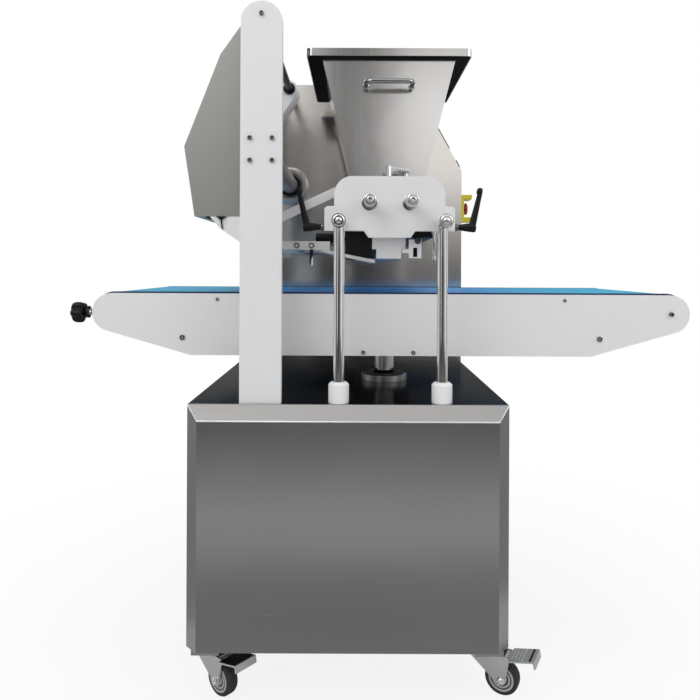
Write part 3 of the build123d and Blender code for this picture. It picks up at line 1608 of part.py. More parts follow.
for hand, x, heading in (("left", rail_x[0], left_heading), ("right", rail_x[1], right_heading)):
    caster_plane = Plane(
        origin=(x, front_caster_y, 0),
        x_dir=(cos(radians(heading)), sin(radians(heading)), 0),
        z_dir=(0, 0, 1),
    )
    with BuildPart(caster_plane) as caster_fork:
        block((-fork_tail, pedal_pin - pedal_barrel), (-leg_y[1], leg_y[1]), (crown_bottom, crown_top))
        rod((0, 0, crown_bottom), (0, 0, crown_top), kingpin_diameter + 2 * running_gap, Mode.SUBTRACT)
        for low in (-leg_y[1], leg_y[0]):
            leg_plane = Plane(
                origin=caster_plane.from_local_coords((0, low + fork_plate, 0)),
                x_dir=caster_plane.x_dir,
                z_dir=-caster_plane.y_dir,
            )
            with BuildSketch(leg_plane) as fork_leg:
                with Locations((caster_trail, wheel_radius)):
                    Circle(leg_boss)
                with Locations(((fork_nose - fork_tail) / 2, crown_top)):
                    Rectangle(fork_nose + fork_tail, fork_shoulder, align=(Align.CENTER, Align.MAX))
                make_hull(fork_leg.edges())
            extrude(amount=fork_plate)
        for side in (-1, 1):
            rod(
                (caster_trail, side * leg_y[1], wheel_radius),
                (caster_trail, side * (leg_y[1] + axle_head_height), wheel_radius),
                axle_head,
            )
        rod((caster_trail, -leg_y[1], wheel_radius), (caster_trail, leg_y[1], wheel_radius), axle_diameter)
        rod(
            (pedal_pin, -leg_y[1], pedal_pin_height),
            (pedal_pin, leg_y[1], pedal_pin_height),
            pedal_pin_diameter,
        )
    save(f"caster_fork_{hand}", caster_fork)

    save(f"caster_wheel_front_{hand}", wheel(caster_plane, caster_trail))

    pedal_plane = Plane(
        origin=caster_plane.from_local_coords((pedal_pin, 0, pedal_pin_height)),
        x_dir=caster_plane.x_dir * cos(radians(pedal_tilt)) + Vector(0, 0, sin(radians(pedal_tilt))),
        z_dir=caster_plane.z_dir * cos(radians(pedal_tilt)) - caster_plane.x_dir * sin(radians(pedal_tilt)),
    )
    with BuildPart(pedal_plane) as brake_pedal:
        barrel_half = fork_gap / 2 - sliding_gap
        pedal_neck = fork_nose - pedal_pin + pedal_neck_gap
        pedal_end = pedal_reach - pedal_pin
        pedal_half = pedal_width / 2
        pedal_z = (pedal_offset, pedal_offset + pedal_plate)
        rod((0, -barrel_half, 0), (0, barrel_half, 0), pedal_barrel)
        block((0, pedal_neck + pedal_plate), (-barrel_half, barrel_half), pedal_z)
        block((pedal_neck, pedal_end), (-pedal_half, pedal_half), pedal_z)
        block(
            (pedal_end - pedal_plate, pedal_end),
            (-pedal_half, pedal_half),
            (pedal_offset - pedal_lip, pedal_offset + pedal_plate),
        )
        pedal_bore = pedal_pin_diameter + 2 * running_gap
        rod((0, -barrel_half, 0), (0, barrel_half, 0), pedal_bore, Mode.SUBTRACT)
    save(f"brake_pedal_{hand}", brake_pedal)

    rear_plane = Plane(origin=(x, rear_caster_y, 0), x_dir=(0, 1, 0), z_dir=(0, 0, 1))
    save(f"caster_wheel_rear_{hand}", wheel(rear_plane, 0))
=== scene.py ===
# %% [markdown]
# # Dressing a macaron depositor
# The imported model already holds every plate, roller and caster of the machine as plain solids in their places.
# This lesson gives them their finishes, adds the small pieces that plain solids leave out, and sets up a studio.
# No solid is moved: each new piece rides on the body that carries it, so the machine still works in every pose.

import json
from math import cos, pi, radians, sin

import bmesh
import bpy
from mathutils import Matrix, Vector


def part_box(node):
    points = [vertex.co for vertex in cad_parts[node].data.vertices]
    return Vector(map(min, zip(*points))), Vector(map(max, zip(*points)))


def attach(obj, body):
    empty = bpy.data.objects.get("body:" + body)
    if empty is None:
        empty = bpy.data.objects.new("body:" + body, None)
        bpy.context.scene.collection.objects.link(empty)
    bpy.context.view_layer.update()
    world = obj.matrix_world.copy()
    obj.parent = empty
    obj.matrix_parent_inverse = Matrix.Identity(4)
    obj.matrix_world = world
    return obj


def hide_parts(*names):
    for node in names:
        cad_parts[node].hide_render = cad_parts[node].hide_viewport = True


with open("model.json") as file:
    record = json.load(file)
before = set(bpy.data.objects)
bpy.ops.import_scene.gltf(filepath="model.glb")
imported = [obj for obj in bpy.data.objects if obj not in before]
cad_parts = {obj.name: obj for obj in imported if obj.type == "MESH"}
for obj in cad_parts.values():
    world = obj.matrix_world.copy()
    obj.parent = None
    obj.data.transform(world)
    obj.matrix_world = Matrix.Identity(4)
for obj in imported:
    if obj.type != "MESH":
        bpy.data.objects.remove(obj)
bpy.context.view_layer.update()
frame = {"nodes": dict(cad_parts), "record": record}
nodes = frame["nodes"]
slots = {part["node"]: part["material_slot"] for part in frame["record"]["subparts"]}
MM = 0.001

# %% [markdown]
# ## Camera
# The photograph was taken from straight in front, a little under two metres from the machine's middle and just above
# the belt. A real lens that looks level but shows more floor than sky is shifted, so the camera is shifted too;
# tilting it instead would make the upright and the columns converge. The photograph also leans by a quarter of a
# degree, and the camera leans with it.

# %% Camera
lens = bpy.data.cameras.new("camera")
lens.sensor_width = 36
lens.lens = 35.07
lens.shift_x = -0.00714
lens.shift_y = -0.1179
camera = bpy.data.objects.new("camera", lens)
camera.location = (-0.0595, -1.888, 0.942)
camera.rotation_euler = (radians(90), radians(-0.25), 0)
bpy.context.scene.collection.objects.link(camera)
bpy.context.scene.camera = camera
print("camera at", tuple(round(v, 3) for v in camera.location))

# %% [markdown]
# ## Shader sums
# Finishes are easiest to read as sums: grain times a share, plus a base value. Clicking Math nodes together one by
# one would hide that, so a small class wraps a socket, and each Python operator on it adds the Math node.

# %% Values
class Value:
    """A node's output; sums with it add Math nodes."""

    def __init__(self, nodes, socket):
        self.nodes = nodes
        self.socket = socket

    def sum(self, operation, first, second):
        return self.nodes.node("ShaderNodeMath", {"operation": operation}, {0: first, 1: second})

    def __add__(self, other):
        return self.sum("ADD", self, other)

    def __sub__(self, other):
        return self.sum("SUBTRACT", self, other)

    def __rsub__(self, other):
        return self.sum("SUBTRACT", other, self)

    def __mul__(self, other):
        return self.sum("MULTIPLY", self, other)

    def __gt__(self, other):
        return self.sum("GREATER_THAN", self, other)

    def __or__(self, other):
        return self.sum("MAXIMUM", self, other)

    __radd__ = __add__
    __rmul__ = __mul__
    __ror__ = __or__


print("sums add Math nodes")

# %% Node trees
class Nodes:
    """A node tree, of a material or of the world."""

    def __init__(self, tree):
        self.tree = tree

    def feed(self, socket, value):
        if isinstance(value, Value):
            self.tree.links.new(value.socket, socket)
        else:
            socket.default_value = value

    def node(self, kind, settings, sockets, output=0):
        """Add a node: its type, its settings, then the values or links of its sockets."""
        made = self.tree.nodes.new(kind)
        for name, value in settings.items():
            if name == "stops":
                self.set_stops(made.color_ramp.elements, value)
            else:
                setattr(made, name, value)
        for name, value in sockets.items():
            self.feed(made.inputs[name], value)
        return Value(self, made.outputs[output])

    def set_stops(self, elements, stops):
        while len(elements) < len(stops):
            elements.new(1)
        for element, (place, grey) in zip(elements, stops):
            element.position = place
            element.color = (grey, grey, grey, 1)

    def ray(self, kind):
        return self.node("ShaderNodeLightPath", {}, {}, f"Is {kind} Ray")


print("one method adds every other node")

# %% Finishes
class Finish(Nodes):
    """A material: one Principled shader, and the nodes that vary it over the surface."""

    def __init__(self, name, sockets):
        self.material = bpy.data.materials.new(name)
        self.material.use_nodes = True
        super().__init__(self.material.node_tree)
        self.shader = self.tree.nodes["Principled BSDF"]
        self.set(sockets)

    def set(self, sockets):
        for name, value in sockets.items():
            self.feed(self.shader.inputs[name], value)

    def place(self):
        return self.node("ShaderNodeTexCoord", {}, {}, "Object")

    def axis(self, letter):
        return self.node("ShaderNodeSeparateXYZ", {}, {0: self.place()}, letter)

    def noise(self, scale, detail=2.0):
        """Cloudy values about 0.5; scale gives cycles per metre along X, Y and Z."""
        stretched = self.node("ShaderNodeVectorMath", {"operation": "MULTIPLY"}, {0: self.place(), 1: scale})
        return self.node("ShaderNodeTexNoise", {}, {"Vector": stretched, "Scale": 1.0, "Detail": detail}, 0)

    def ramp(self, value, low, high):
        """0 at low, 1 at high, eased between."""
        return self.node(
            "ShaderNodeMapRange",
            {"interpolation_type": "SMOOTHSTEP"},
            {"Value": value, "From Min": low, "From Max": high},
        )

    def greys(self, value, stops):
        """Greys along a line; stops are (where, grey)."""
        first, last = stops[0][0], stops[-1][0]
        shares = [((where - first) / (last - first), grey) for where, grey in stops]
        share = (value - first) * (1 / (last - first))
        return self.node("ShaderNodeValToRGB", {"stops": shares}, {0: share})

    def mix(self, share, first, second):
        first, second = [c if isinstance(c, Value) else (*c, 1) for c in (first, second)]
        return self.node("ShaderNodeMix", {"data_type": "RGBA"}, {0: share, 6: first, 7: second}, 2)

    def bump(self, height, depth):
        return self.node("ShaderNodeBump", {}, {"Height": height, "Distance": depth * MM, "Strength": 1.0})


def shade(colour, factor):
    return tuple(min(1, channel * factor) for channel in colour)


print("finishes can be mixed")

# %% [markdown]
# ## Sheet steel
# The cabinet, housing, console and hopper are brushed stainless sheet. Brushing leaves long fine lines along one
# axis, so the noise is stretched eightyfold that way. It moves the colour a little, the roughness more, and a
# very shallow bump breaks up reflections along the lines; slow clouds stand for handling marks. The hopper's handle
# is one piece with it, and the finish is a darker grey on its bar.

# %% Brushed steel finishes
GRAIN = {"across": (2, 160, 160), "deep": (160, 2, 160), "up": (160, 160, 2)}
LINES = {"across": (20, 1600, 1600), "deep": (1600, 20, 1600), "up": (1600, 1600, 20)}
LINE_DEPTH = 0.02  # millimetres
HANDLING, HOLLOWS = (3, 3, 3), (5, 5, 5)  # clouds and hollows per metre
GRAIN_SHARE = 0.6  # of the change in colour; the clouds have the rest


def brushed(name, colour, rough, way, cloud=0.10, streak=0.10, bare=1.0, wave=0.3, folds=1):
    """Brushed sheet.

    bare is how much of it is metal rather than a dull film, wave the depth of its hollows in millimetres, and folds
    how many smaller hollows lie in each.
    """
    finish = Finish(name, {"Metallic": bare})
    grain = finish.noise(GRAIN[way], 4)
    clouds = finish.noise(HANDLING, 3)
    mixed = grain * GRAIN_SHARE + clouds * (1 - GRAIN_SHARE)
    finish.colour = finish.mix(mixed, shade(colour, 1 - cloud), shade(colour, 1 + cloud))
    height = finish.noise(LINES[way], 2) * LINE_DEPTH + finish.noise(HOLLOWS, folds) * wave
    finish.set({
        "Base Color": finish.colour,
        "Roughness": grain * streak + clouds * streak + (rough - streak),
        "Normal": finish.bump(height, 1.0),
    })
    return finish


steel = (0.62, 0.61, 0.59)
finishes = {
    "stainless": brushed("steel_up", steel, 0.30, "up"),
    "dark_panel": brushed("panel_steel", (0.34, 0.335, 0.33), 0.25, "across", 0.05, 0.07, 1.0, 0.8),
}
steel_across = brushed("steel_across", steel, 0.30, "across")
steel_deep = brushed("steel_deep", steel, 0.32, "deep")
bright_bar = brushed("bright_bar", (0.86, 0.855, 0.84), 0.26, "across", 0.05, 0.08, 0.45)
console_steel = brushed("console_steel", (0.33, 0.325, 0.31), 0.42, "deep", 0.05, 0.10, 0.6)
housing_steel = brushed("housing_steel", (0.78, 0.74, 0.70), 0.13, "up", 0.05, 0.05, 1.0, 0.5)
hopper_steel = brushed("hopper_steel", (0.78, 0.765, 0.75), 0.15, "up", 0.05, 0.05, 1.0, 1.1, 2.5)
HANDLE_ROOT = 0.2815  # metres in front of the machine's middle, just off the hopper's front wall
HANDLE_TOP = 1.40
# a darker grey for the handle's bar
handle_bar_grey = (0.36, 0.355, 0.35)
handle_bar = (hopper_steel.axis("Y") * -1 > HANDLE_ROOT) * (HANDLE_TOP - hopper_steel.axis("Z") > 0)
hopper_steel.set({"Base Color": hopper_steel.mix(handle_bar, hopper_steel.colour, handle_bar_grey)})
print("steel finishes ready")

# %% [markdown]
# ## Plated and machined metal
# Columns and shafts are polished chrome: nearly a mirror, with faint turning lines. The feed rollers are a duller
# chrome, and casters are zinc plated, which has soft patches. The belt's rollers and the feed body are machined
# aluminium with closer tool marks. Pictures of each surface could be wrapped on, but all of them are patches and tool
# lines in different amounts, so one helper makes them from noise, which needs no unwrapping.

# %% Chrome, zinc and machined metal
PATCH_TINT = 0.1  # how far patches change the colour, both ways
PATCHY, LINED, EVEN = 0.6, 0.4, 0.5  # shares of the roughness: in patches, along the lines, everywhere


def metal(name, colour, rough, patch, marks, depth):
    """Bare metal: patches vary colour and roughness, marks are the tool lines per metre along X, Y and Z."""
    finish = Finish(name, {"Metallic": 1.0})
    patches = finish.noise((patch, patch, patch), 3)
    lines = finish.noise(marks, 2)
    finish.set({
        "Base Color": finish.mix(patches, shade(colour, 1 - PATCH_TINT), shade(colour, 1 + PATCH_TINT)),
        "Roughness": patches * (rough * PATCHY) + lines * (rough * LINED) + rough * EVEN,
        "Normal": finish.bump(lines, depth),
    })
    return finish


finishes["chrome"] = metal("chrome", (0.78, 0.775, 0.77), 0.08, 25, (40, 40, 900), 0.003)
finishes["zinc"] = metal("zinc", (0.56, 0.565, 0.57), 0.34, 60, (300, 300, 300), 0.02)
roller_chrome = metal("roller_chrome", (0.60, 0.60, 0.605), 0.14, 30, (40, 1400, 40), 0.01)
finishes["machined"] = metal("machined", (0.66, 0.66, 0.67), 0.28, 30, (40, 1400, 40), 0.004)
bolt_steel = metal("bolt_steel", (0.17, 0.168, 0.165), 0.22, 200, (900, 900, 900), 0.01)
dark_steel = metal("dark_steel", (0.10, 0.10, 0.105), 0.34, 200, (900, 900, 900), 0.01)
print("metal finishes ready")

# %% [markdown]
# ## Painted and moulded finishes
# The white plates are satin white, the top plate is gloss black and mirrors what stands on it, and knobs, seals,
# guards and tyres are moulded. Each has its own fine texture: orange peel on paint, a leathery grain on plastic,
# and a cloudy bloom on rubber. A plain colour would look like a drawing.

# %% Paint, plastic and rubber
BLOOM = (6, 6, 6)  # clouds per metre
FINE_SHARE = 0.3  # of the change in colour; the clouds have the rest
CLOUD_ROUGH, FINE_ROUGH = 0.12, 0.08  # span of the roughness over each


def coated(name, colour, rough, grain, depth, vary=0.04, sockets=None):
    """A skin that isn't metal: grain is the size of its texture in millimetres."""
    finish = Finish(name, {"Metallic": 0.0, **(sockets or {})})
    fine = finish.noise((1000 / grain,) * 3, 2)
    clouds = finish.noise(BLOOM, 3)
    mixed = fine * FINE_SHARE + clouds * (1 - FINE_SHARE)
    middle = rough - (CLOUD_ROUGH + FINE_ROUGH) / 2
    finish.set({
        "Base Color": finish.mix(mixed, shade(colour, 1 - vary), shade(colour, 1 + vary)),
        "Roughness": clouds * CLOUD_ROUGH + fine * FINE_ROUGH + middle,
        "Normal": finish.bump(fine, depth),
    })
    return finish


finishes["white_plate"] = coated("white_plate", (0.80, 0.80, 0.81), 0.42, 1.2, 0.01, 0.02)
finishes["white_die"] = coated("white_die", (0.74, 0.74, 0.755), 0.45, 0.8, 0.01, 0.02)
for name, grey, rough, grain, depth, vary, sheen in (
    ("black_top", 0.003, 0.16, 4, 0.002, 0.2, 0.02),
    ("black_plastic", 0.005, 0.40, 0.6, 0.03, 0.25, 0.25),
    ("seal_black", 0.004, 0.8, 1.5, 0.03, 0.3, 0.12),
):
    finishes[name] = coated(name, (grey, grey, grey), rough, grain, depth, vary, {"Specular IOR Level": sheen})
finishes["stop_yellow"] = coated("stop_yellow", (0.82, 0.66, 0.02), 0.34, 1.0, 0.01)
finishes["stop_red"] = coated("stop_red", (0.45, 0.015, 0.02), 0.28, 1.0, 0.01)
finishes["screen"] = coated("screen", (0.012, 0.014, 0.018), 0.14, 0.4, 0.002, 0.2)
finishes["device"] = coated("device", (0.30, 0.31, 0.32), 0.5, 0.8, 0.02)
finishes["drive_grey"] = coated("drive_grey", (0.24, 0.27, 0.30), 0.4, 2.5, 0.08)
finishes["tyre"] = coated("tyre", (0.030, 0.026, 0.025), 0.72, 1.5, 0.05, 0.35)
sleeve_white = coated("sleeve_white", (0.88, 0.88, 0.885), 0.40, 0.8, 0.01, 0.02)
core_grey = coated("core_grey", (0.46, 0.46, 0.465), 0.42, 1.0, 0.02)
print(len(finishes), "slot finishes ready")

# %% [markdown]
# ## Belt
# The belt is blue food-grade plastic on a woven carrier. From the front only a narrow slice of its top shows, plus
# its cut edges, which are painted navy as painted shade. A picture of cloth would repeat along so long a loop, so a
# fine weave comes from two sine waves, and the cut edges are found by how far a point lies from the belt's middle.
# Its middle under the head is painted a deeper blue than its paler ends: painted shade of the head.

# %% Belt finish
THREADS = 2600  # radians of weave per metre
# width of the navy painted shade along the belt's sides
SHADED_EDGE_WIDTH = 0.4  # millimetres
# painted shade: over these distances the belt goes from a deeper blue in the middle to paler at the ends
PAINTED_SHADE_SPAN = (0.2, 0.5)  # metres from the machine's middle


def belt_finish():
    finish = Finish("belt_blue", {"Metallic": 0.0, "Specular IOR Level": 0.12})
    low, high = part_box("conveyor_belt")
    along, over = finish.axis("X"), finish.axis("Y")
    weave = along * THREADS, over * THREADS
    threads = [finish.node("ShaderNodeMath", {"operation": "SINE"}, {0: wave}) for wave in weave]
    middle = (low.y + high.y) / 2
    offset = finish.node("ShaderNodeMath", {"operation": "ABSOLUTE"}, {0: over - middle})
    # painted shade: the belt is navy within this width of its sides
    painted_shade_edge = offset > (high.y - low.y) / 2 - SHADED_EDGE_WIDTH * MM
    dust = finish.noise((9, 9, 9), 4)
    outwards = finish.node("ShaderNodeMath", {"operation": "ABSOLUTE"}, {0: along})
    # painted shade of the head: deeper blue in the middle, paler towards both ends
    painted_shade_ramp = finish.ramp(outwards, *PAINTED_SHADE_SPAN)
    deep = finish.mix(painted_shade_ramp, (0.055, 0.32, 0.76), (0.040, 0.38, 0.60))
    pale = finish.mix(painted_shade_ramp, (0.075, 0.38, 0.86), (0.055, 0.46, 0.69))
    top = finish.mix(dust, deep, pale)
    finish.set({
        "Base Color": finish.mix(painted_shade_edge, top, (0.02, 0.05, 0.16)),
        "Roughness": dust * 0.15 + 0.36,
        "Normal": finish.bump(threads[0] * threads[1] + dust * 2, 0.03),
    })
    return finish


finishes["belt_blue"] = belt_finish()
# navy for the painted shade along the belt's edges
belt_shade_navy = coated("belt_shade_navy", (0.010, 0.028, 0.085), 0.45, 1.0, 0.02, 0.1)
print("belt finish ready")

# %% [markdown]
# ## Finishes on the solids
# Every solid names a slot in the record, and the slot picks the finish. Sheets whose brushing runs another way
# get their own version. A bevel modifier then rounds each sharp edge by a fraction of a millimetre, because no real
# plate has a perfect edge, and the thin highlights along edges are what make metal believable.

# %% Dress the solids
own_finish = {
    "side_panels": steel_deep, "rear_cover": steel_across, "console_shell": console_steel,
    "housing_front": housing_steel, "housing_wrap": housing_steel, "hopper": hopper_steel,
    # the base frame takes the darker panel steel instead of its own: painted shade under the cabinet
    "cutter_frame": bright_bar, "cutter_strips": bright_bar, "base_frame": finishes["dark_panel"],
    "cross_beam": steel_deep, "column_sleeves": sleeve_white, "feed_roller_left": roller_chrome,
    "feed_roller_right": roller_chrome,
}
edge_width = {
    "front_upright": 1.2, "console_brackets": 1.0, "head_front_plate": 1.2, "column_sleeves": 1.0,
    "conveyor_side_plates": 1.2, "cutter_guides": 0.8, "die_block": 1.0, "die_latch": 0.5, "head_rear_plate": 0.8,
    "feed_body": 0.8, "top_plate": 0.5, "front_panel": 1.4, "estop_box": 1.0, "die_holder": 0.8, "tie_bar": 0.8,
    "cutter_frame": 0.5, "lift_flange": 0.6, "cross_beam": 0.6, "hopper_lock": 0.6, "touch_screen": 0.8,
    "caster_fork_left": 0.6, "caster_fork_right": 0.6, "brake_pedal_left": 0.6, "brake_pedal_right": 0.6,
    "caster_mounts": 0.6, "console_shell": 0.5, "tension_knob_front": 0.6, "tension_knob_rear": 0.6,
    "support_columns": 0.4, "shaft_bushes": 0.5, "hopper": 0.3, "lift_ram": 0.5, "feed_motor": 1.0,
}


def round_edges(piece, width):
    weld = piece.modifiers.new("weld", "WELD")
    weld.merge_threshold = 1e-5
    flats = piece.modifiers.new("flats", "DECIMATE")
    flats.decimate_type = "DISSOLVE"
    flats.angle_limit = radians(0.5)
    bevel = piece.modifiers.new("edges", "BEVEL")
    bevel.width = width * MM
    bevel.segments = 2
    bevel.limit_method = "ANGLE"
    bevel.angle_limit = radians(35)
    bevel.face_strength_mode = "FSTR_AFFECTED"
    normals = piece.modifiers.new("normals", "WEIGHTED_NORMAL")
    normals.use_face_influence = True
    normals.keep_sharp = True


for name, node in nodes.items():
    node.data.materials.clear()
    node.data.materials.append(own_finish.get(name, finishes[slots[name]]).material)
    if name in edge_width:
        round_edges(node, edge_width[name])
print(len(nodes), "solids dressed,", len(edge_width), "with rounded edges")

# %% [markdown]
# ## Turned pieces
# Screws, wheels and knobs are all turned on a lathe, so one helper skins rings of points along an axis. A
# ring may be round or hexagonal, which is enough for a socket screw's head with its key hole. A library of screw
# models would also do, but this keeps each head as light as its size in the picture deserves.

# %% Shapes from rings
def round_ring(angle):
    return 1


def hex_ring(angle):
    return 1 / cos((angle + pi / 6) % (pi / 3) - pi / 6)


SMOOTH_BELOW = radians(38)  # edges that turn more than this stay sharp


class Shape:
    """Collects skins in one mesh; sizes are in millimetres in the machine's frame."""

    def __init__(self):
        self.mesh = bmesh.new()

    def skin(self, rings, closed=False):
        """Faces between neighbouring rings, with capped ends or, if closed, back to the first ring."""
        rows = [[self.mesh.verts.new(Vector(point) * MM) for point in ring] for ring in rings]
        for low, high in zip(rows, rows[1:] + rows[:1] * closed):
            for step in range(len(low)):
                after = (step + 1) % len(low)
                self.mesh.faces.new((low[step], low[after], high[after], high[step]))
        if closed:
            return
        self.mesh.faces.new(rows[0][::-1])
        self.mesh.faces.new(rows[-1])

    def turned(self, base, axis, profile, sides=36, ring=round_ring):
        """profile rows are (along, radius) or (along, radius, ring)."""
        axis = Vector(axis).normalized()
        side = axis.orthogonal().normalized()
        over = axis.cross(side)
        rings = []
        for along, radius, *outline in profile:
            shape = outline[0] if outline else ring
            angles = [2 * pi * step / sides for step in range(sides)]
            middle = Vector(base) + axis * along
            rings.append([
                middle + (side * cos(angle) + over * sin(angle)) * radius * shape(angle) for angle in angles
            ])
        self.skin(rings)

    def piece(self, name, finish, body, slot, *replaced):
        data = bpy.data.meshes.new(name)
        bmesh.ops.recalc_face_normals(self.mesh, faces=self.mesh.faces)
        self.mesh.to_mesh(data)
        self.mesh.free()
        data.shade_smooth()
        data.set_sharp_from_angle(angle=SMOOTH_BELOW)
        data.materials.append(finish.material)
        made = bpy.data.objects.new(name, data)
        bpy.context.scene.collection.objects.link(made)
        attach(made, body)
        if replaced:
            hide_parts(*replaced)
        print(name, "has", len(data.polygons), "faces and rides on", body)
        return made


print("rings can be skinned")

# %% Socket screws
def socket_screw(shape, base, axis, head, height, key, depth):
    """A cap screw's head with its hexagon socket."""
    rim = head / 2
    shape.turned(base, axis, [
        (0, rim), (height - 0.8, rim), (height - 0.2, rim - 0.4), (height, rim - 0.9),
        (height, key * 0.68), (height - 0.5, key / 2, hex_ring), (height - depth, key / 2, hex_ring),
    ])


print("screws can be turned")

# %% [markdown]
# ## Screws on the plates
# Five socket screws hold the upright, six more show on each conveyor plate, and small ones hold the covers and the
# cutter. From where the camera stands they are dark rings with a bright edge, so the head and its socket are modelled
# and the thread isn't.

# %% Upright and conveyor screws
FRONTWARDS, REARWARDS = (0, -1, 0), (0, 1, 0)
UPRIGHT_X, UPRIGHT_FRONT = -263, -420
TIE_Z, BEAM_Z = 1488, 1196
BOLT_REACH = 24  # from the beam's middle to its bolts, both ways
UPRIGHT_SCREW = (10, 6, 5, 3)  # head, height, key, depth of its socket

upright_screws = Shape()
bolt_places = [(UPRIGHT_X, TIE_Z)]
for side in (-1, 1):
    bolt_places += [(UPRIGHT_X + side * BOLT_REACH, BEAM_Z + rise * BOLT_REACH) for rise in (-1, 1)]
for x, z in bolt_places:
    socket_screw(upright_screws, (x, UPRIGHT_FRONT, z), FRONTWARDS, *UPRIGHT_SCREW)
upright_screws.piece("upright_screws", bolt_steel, "base", "stainless", "upright_bolts")

CONVEYOR_FACES = ((-305, FRONTWARDS), (235, REARWARDS))
PLATE_SCREWS = (  # X, Z, bore
    (-459.5, 778, 11), (508.5, 778, 11), (-378.5, 867, 5), (427.5, 867, 5), (-39.5, 745, 9), (76.5, 745, 9),
)
PLATE_HEAD, PLATE_KEY = 0.8, 0.45  # head over its bore, and key as a share of the bore
BELT_ENDS = (-625.5, 674.5)  # X of the tail roller and the drive roller
ROLLER_Z = 836
AXLE_SCREW = (11, 6, 6, 4)

conveyor_screws = Shape()
for y, way in CONVEYOR_FACES:
    for x, z, bore in PLATE_SCREWS:
        socket_screw(conveyor_screws, (x, y, z), way, bore + PLATE_HEAD, 3.6, bore * PLATE_KEY, 2)
conveyor_screws.piece("conveyor_screws", bolt_steel, "conveyor", "stainless")

axle_screws, axle_caps = Shape(), Shape()
for y, way in CONVEYOR_FACES:
    axle_end = (BELT_ENDS[1], y, ROLLER_Z)
    socket_screw(axle_screws, axle_end, way, *AXLE_SCREW)
    axle_caps.turned(axle_end, way, [(0, 12), (0.9, 12), (1.4, 11.4), (1.4, 5.6)], 48)
axle_screws.piece("drive_axle_screws", bolt_steel, "belt_drive", "stainless")
axle_caps.piece("drive_axle_caps", finishes["white_plate"], "belt_drive", "white_plate")

# %% Cover and cutter screws
REAR_COVER_Y = 469
LEFT_X, RIGHT_X = -417.5, 272.5
COVER_SCREW = (9, 2.6, 4, 1.8)

cover_screws = Shape()
rear_places = [(x, z) for x in (-400, -245, -72.5, 100, 255) for z in (146, 390, 634)]
rear_places += [(x, z) for x in (-400, 255) for z in (800, 1000, 1200)]
for x, z in rear_places:
    socket_screw(cover_screws, (x, REAR_COVER_Y, z), REARWARDS, *COVER_SCREW)
for x, way in ((LEFT_X, -1), (RIGHT_X, 1)):
    for y in (-400, -110, 170, 450):
        for z in (150, 625):
            socket_screw(cover_screws, (x, y, z), (way, 0, 0), *COVER_SCREW)
cover_screws.piece("cover_screws", bolt_steel, "base", "stainless")

CUTTER_BOLTS = (-193.5, -159.5)
CUTTER_SCREW = (12.8, 4.6, 6, 3)
cutter_screws = Shape()
for x in CUTTER_BOLTS:
    socket_screw(cutter_screws, (x, -321, 992), FRONTWARDS, *CUTTER_SCREW)
cutter_screws.piece("cutter_screws", bolt_steel, "cutter", "stainless")
grip = Shape()
grip.turned((CUTTER_BOLTS[1], -318, 983), (-0.06, 0, -1), [
    (0, 4.2), (1.2, 4.7), (4, 4.6), (20, 3.6), (34, 2.7), (36, 2.2), (36.6, 1.4)], 32)
grip.piece("cutter_grip", finishes["black_plastic"], "cutter", "black_plastic")

# %% [markdown]
# ## Belt edges
# A navy bead along each cut edge of the belt is painted shade, a dark line where the belt's side lies in shade. It
# follows the belt over both rollers, so its section is carried along a loop of two arcs and two straight runs and
# closed on itself. A curve with a bevel object would also do, but the ring helper is there already and needs no
# second object for the section.

# %% Belt edge beads
ARC_STEPS = 24
BEAD_ROOT = 45.2
BEAD_WIDTH = 2.8
BEAD_BEVEL = 0.4

loop = []
for x, first in zip(BELT_ENDS, (pi / 2, -pi / 2)):
    loop += [(x, first + pi * step / ARC_STEPS) for step in range(ARC_STEPS + 1)]
# painted shade: a dark navy bead along each side of the belt
belt_shade_beads = Shape()
for y, inward, top in ((-279, 1, 47.4), (209, -1, 46.2)):
    section = (
        (0, BEAD_ROOT), (0, top - BEAD_BEVEL), (BEAD_BEVEL, top), (BEAD_WIDTH - BEAD_BEVEL, top),
        (BEAD_WIDTH, top - BEAD_BEVEL), (BEAD_WIDTH, BEAD_ROOT),
    )
    belt_shade_beads.skin([
        [(x + cos(angle) * radius, y + inward * over, ROLLER_Z + sin(angle) * radius) for over, radius in section]
        for x, angle in loop
    ], closed=True)
belt_shade_beads.piece("belt_shade_beads", belt_shade_navy, "conveyor", "belt_blue")

# %% [markdown]
# ## Caster wheels
# A caster wheel is a grey moulded core with a light rim ring and a dark rubber tread. The solid is a plain disc, so
# the tread and the core replace it, each turned from its real section. Splitting them gives each its own finish.

# %% Wheels
TREAD = ((-12.6, 27.5), (-13.4, 29), (-13.5, 32), (-12.4, 35.3), (-9.5, 37.1), (-6, 37.5), (6, 37.5), (9.5, 37.1),
         (12.4, 35.3), (13.5, 32), (13.4, 29), (12.6, 27.5))
CORE = ((-16.6, 9.5), (-16.6, 11.4), (-16, 12.2), (-13, 12.6), (-11.8, 13.8), (-11.6, 15.2), (-13.2, 16.4),
        (-13.4, 20.4), (-11.4, 21.2), (-11.4, 22.8), (-13.8, 23.6), (-14, 27.6), (-12.6, 28.4), (12.6, 28.4),
        (14, 27.6), (13.8, 23.6), (11.4, 22.8), (11.4, 21.2), (13.4, 20.4), (13.2, 16.4), (11.6, 15.2),
        (11.8, 13.8), (13, 12.6), (16, 12.2), (16.6, 11.4), (16.6, 9.5))
CASTERS = (("left", -379.5, -40), ("right", 234.5, -27))  # name, X, heading of the front one in degrees
CASTER_FRONT, CASTER_REAR = -355, 400
AXLE_Z = 37.5
TRAIL = 42  # axle behind the swivel's axis


def caster_ways(heading):
    """A caster's own directions: ahead, and along its axle."""
    ahead = Vector((cos(radians(heading)), sin(radians(heading)), 0))
    return ahead, Vector((-ahead.y, ahead.x, 0))


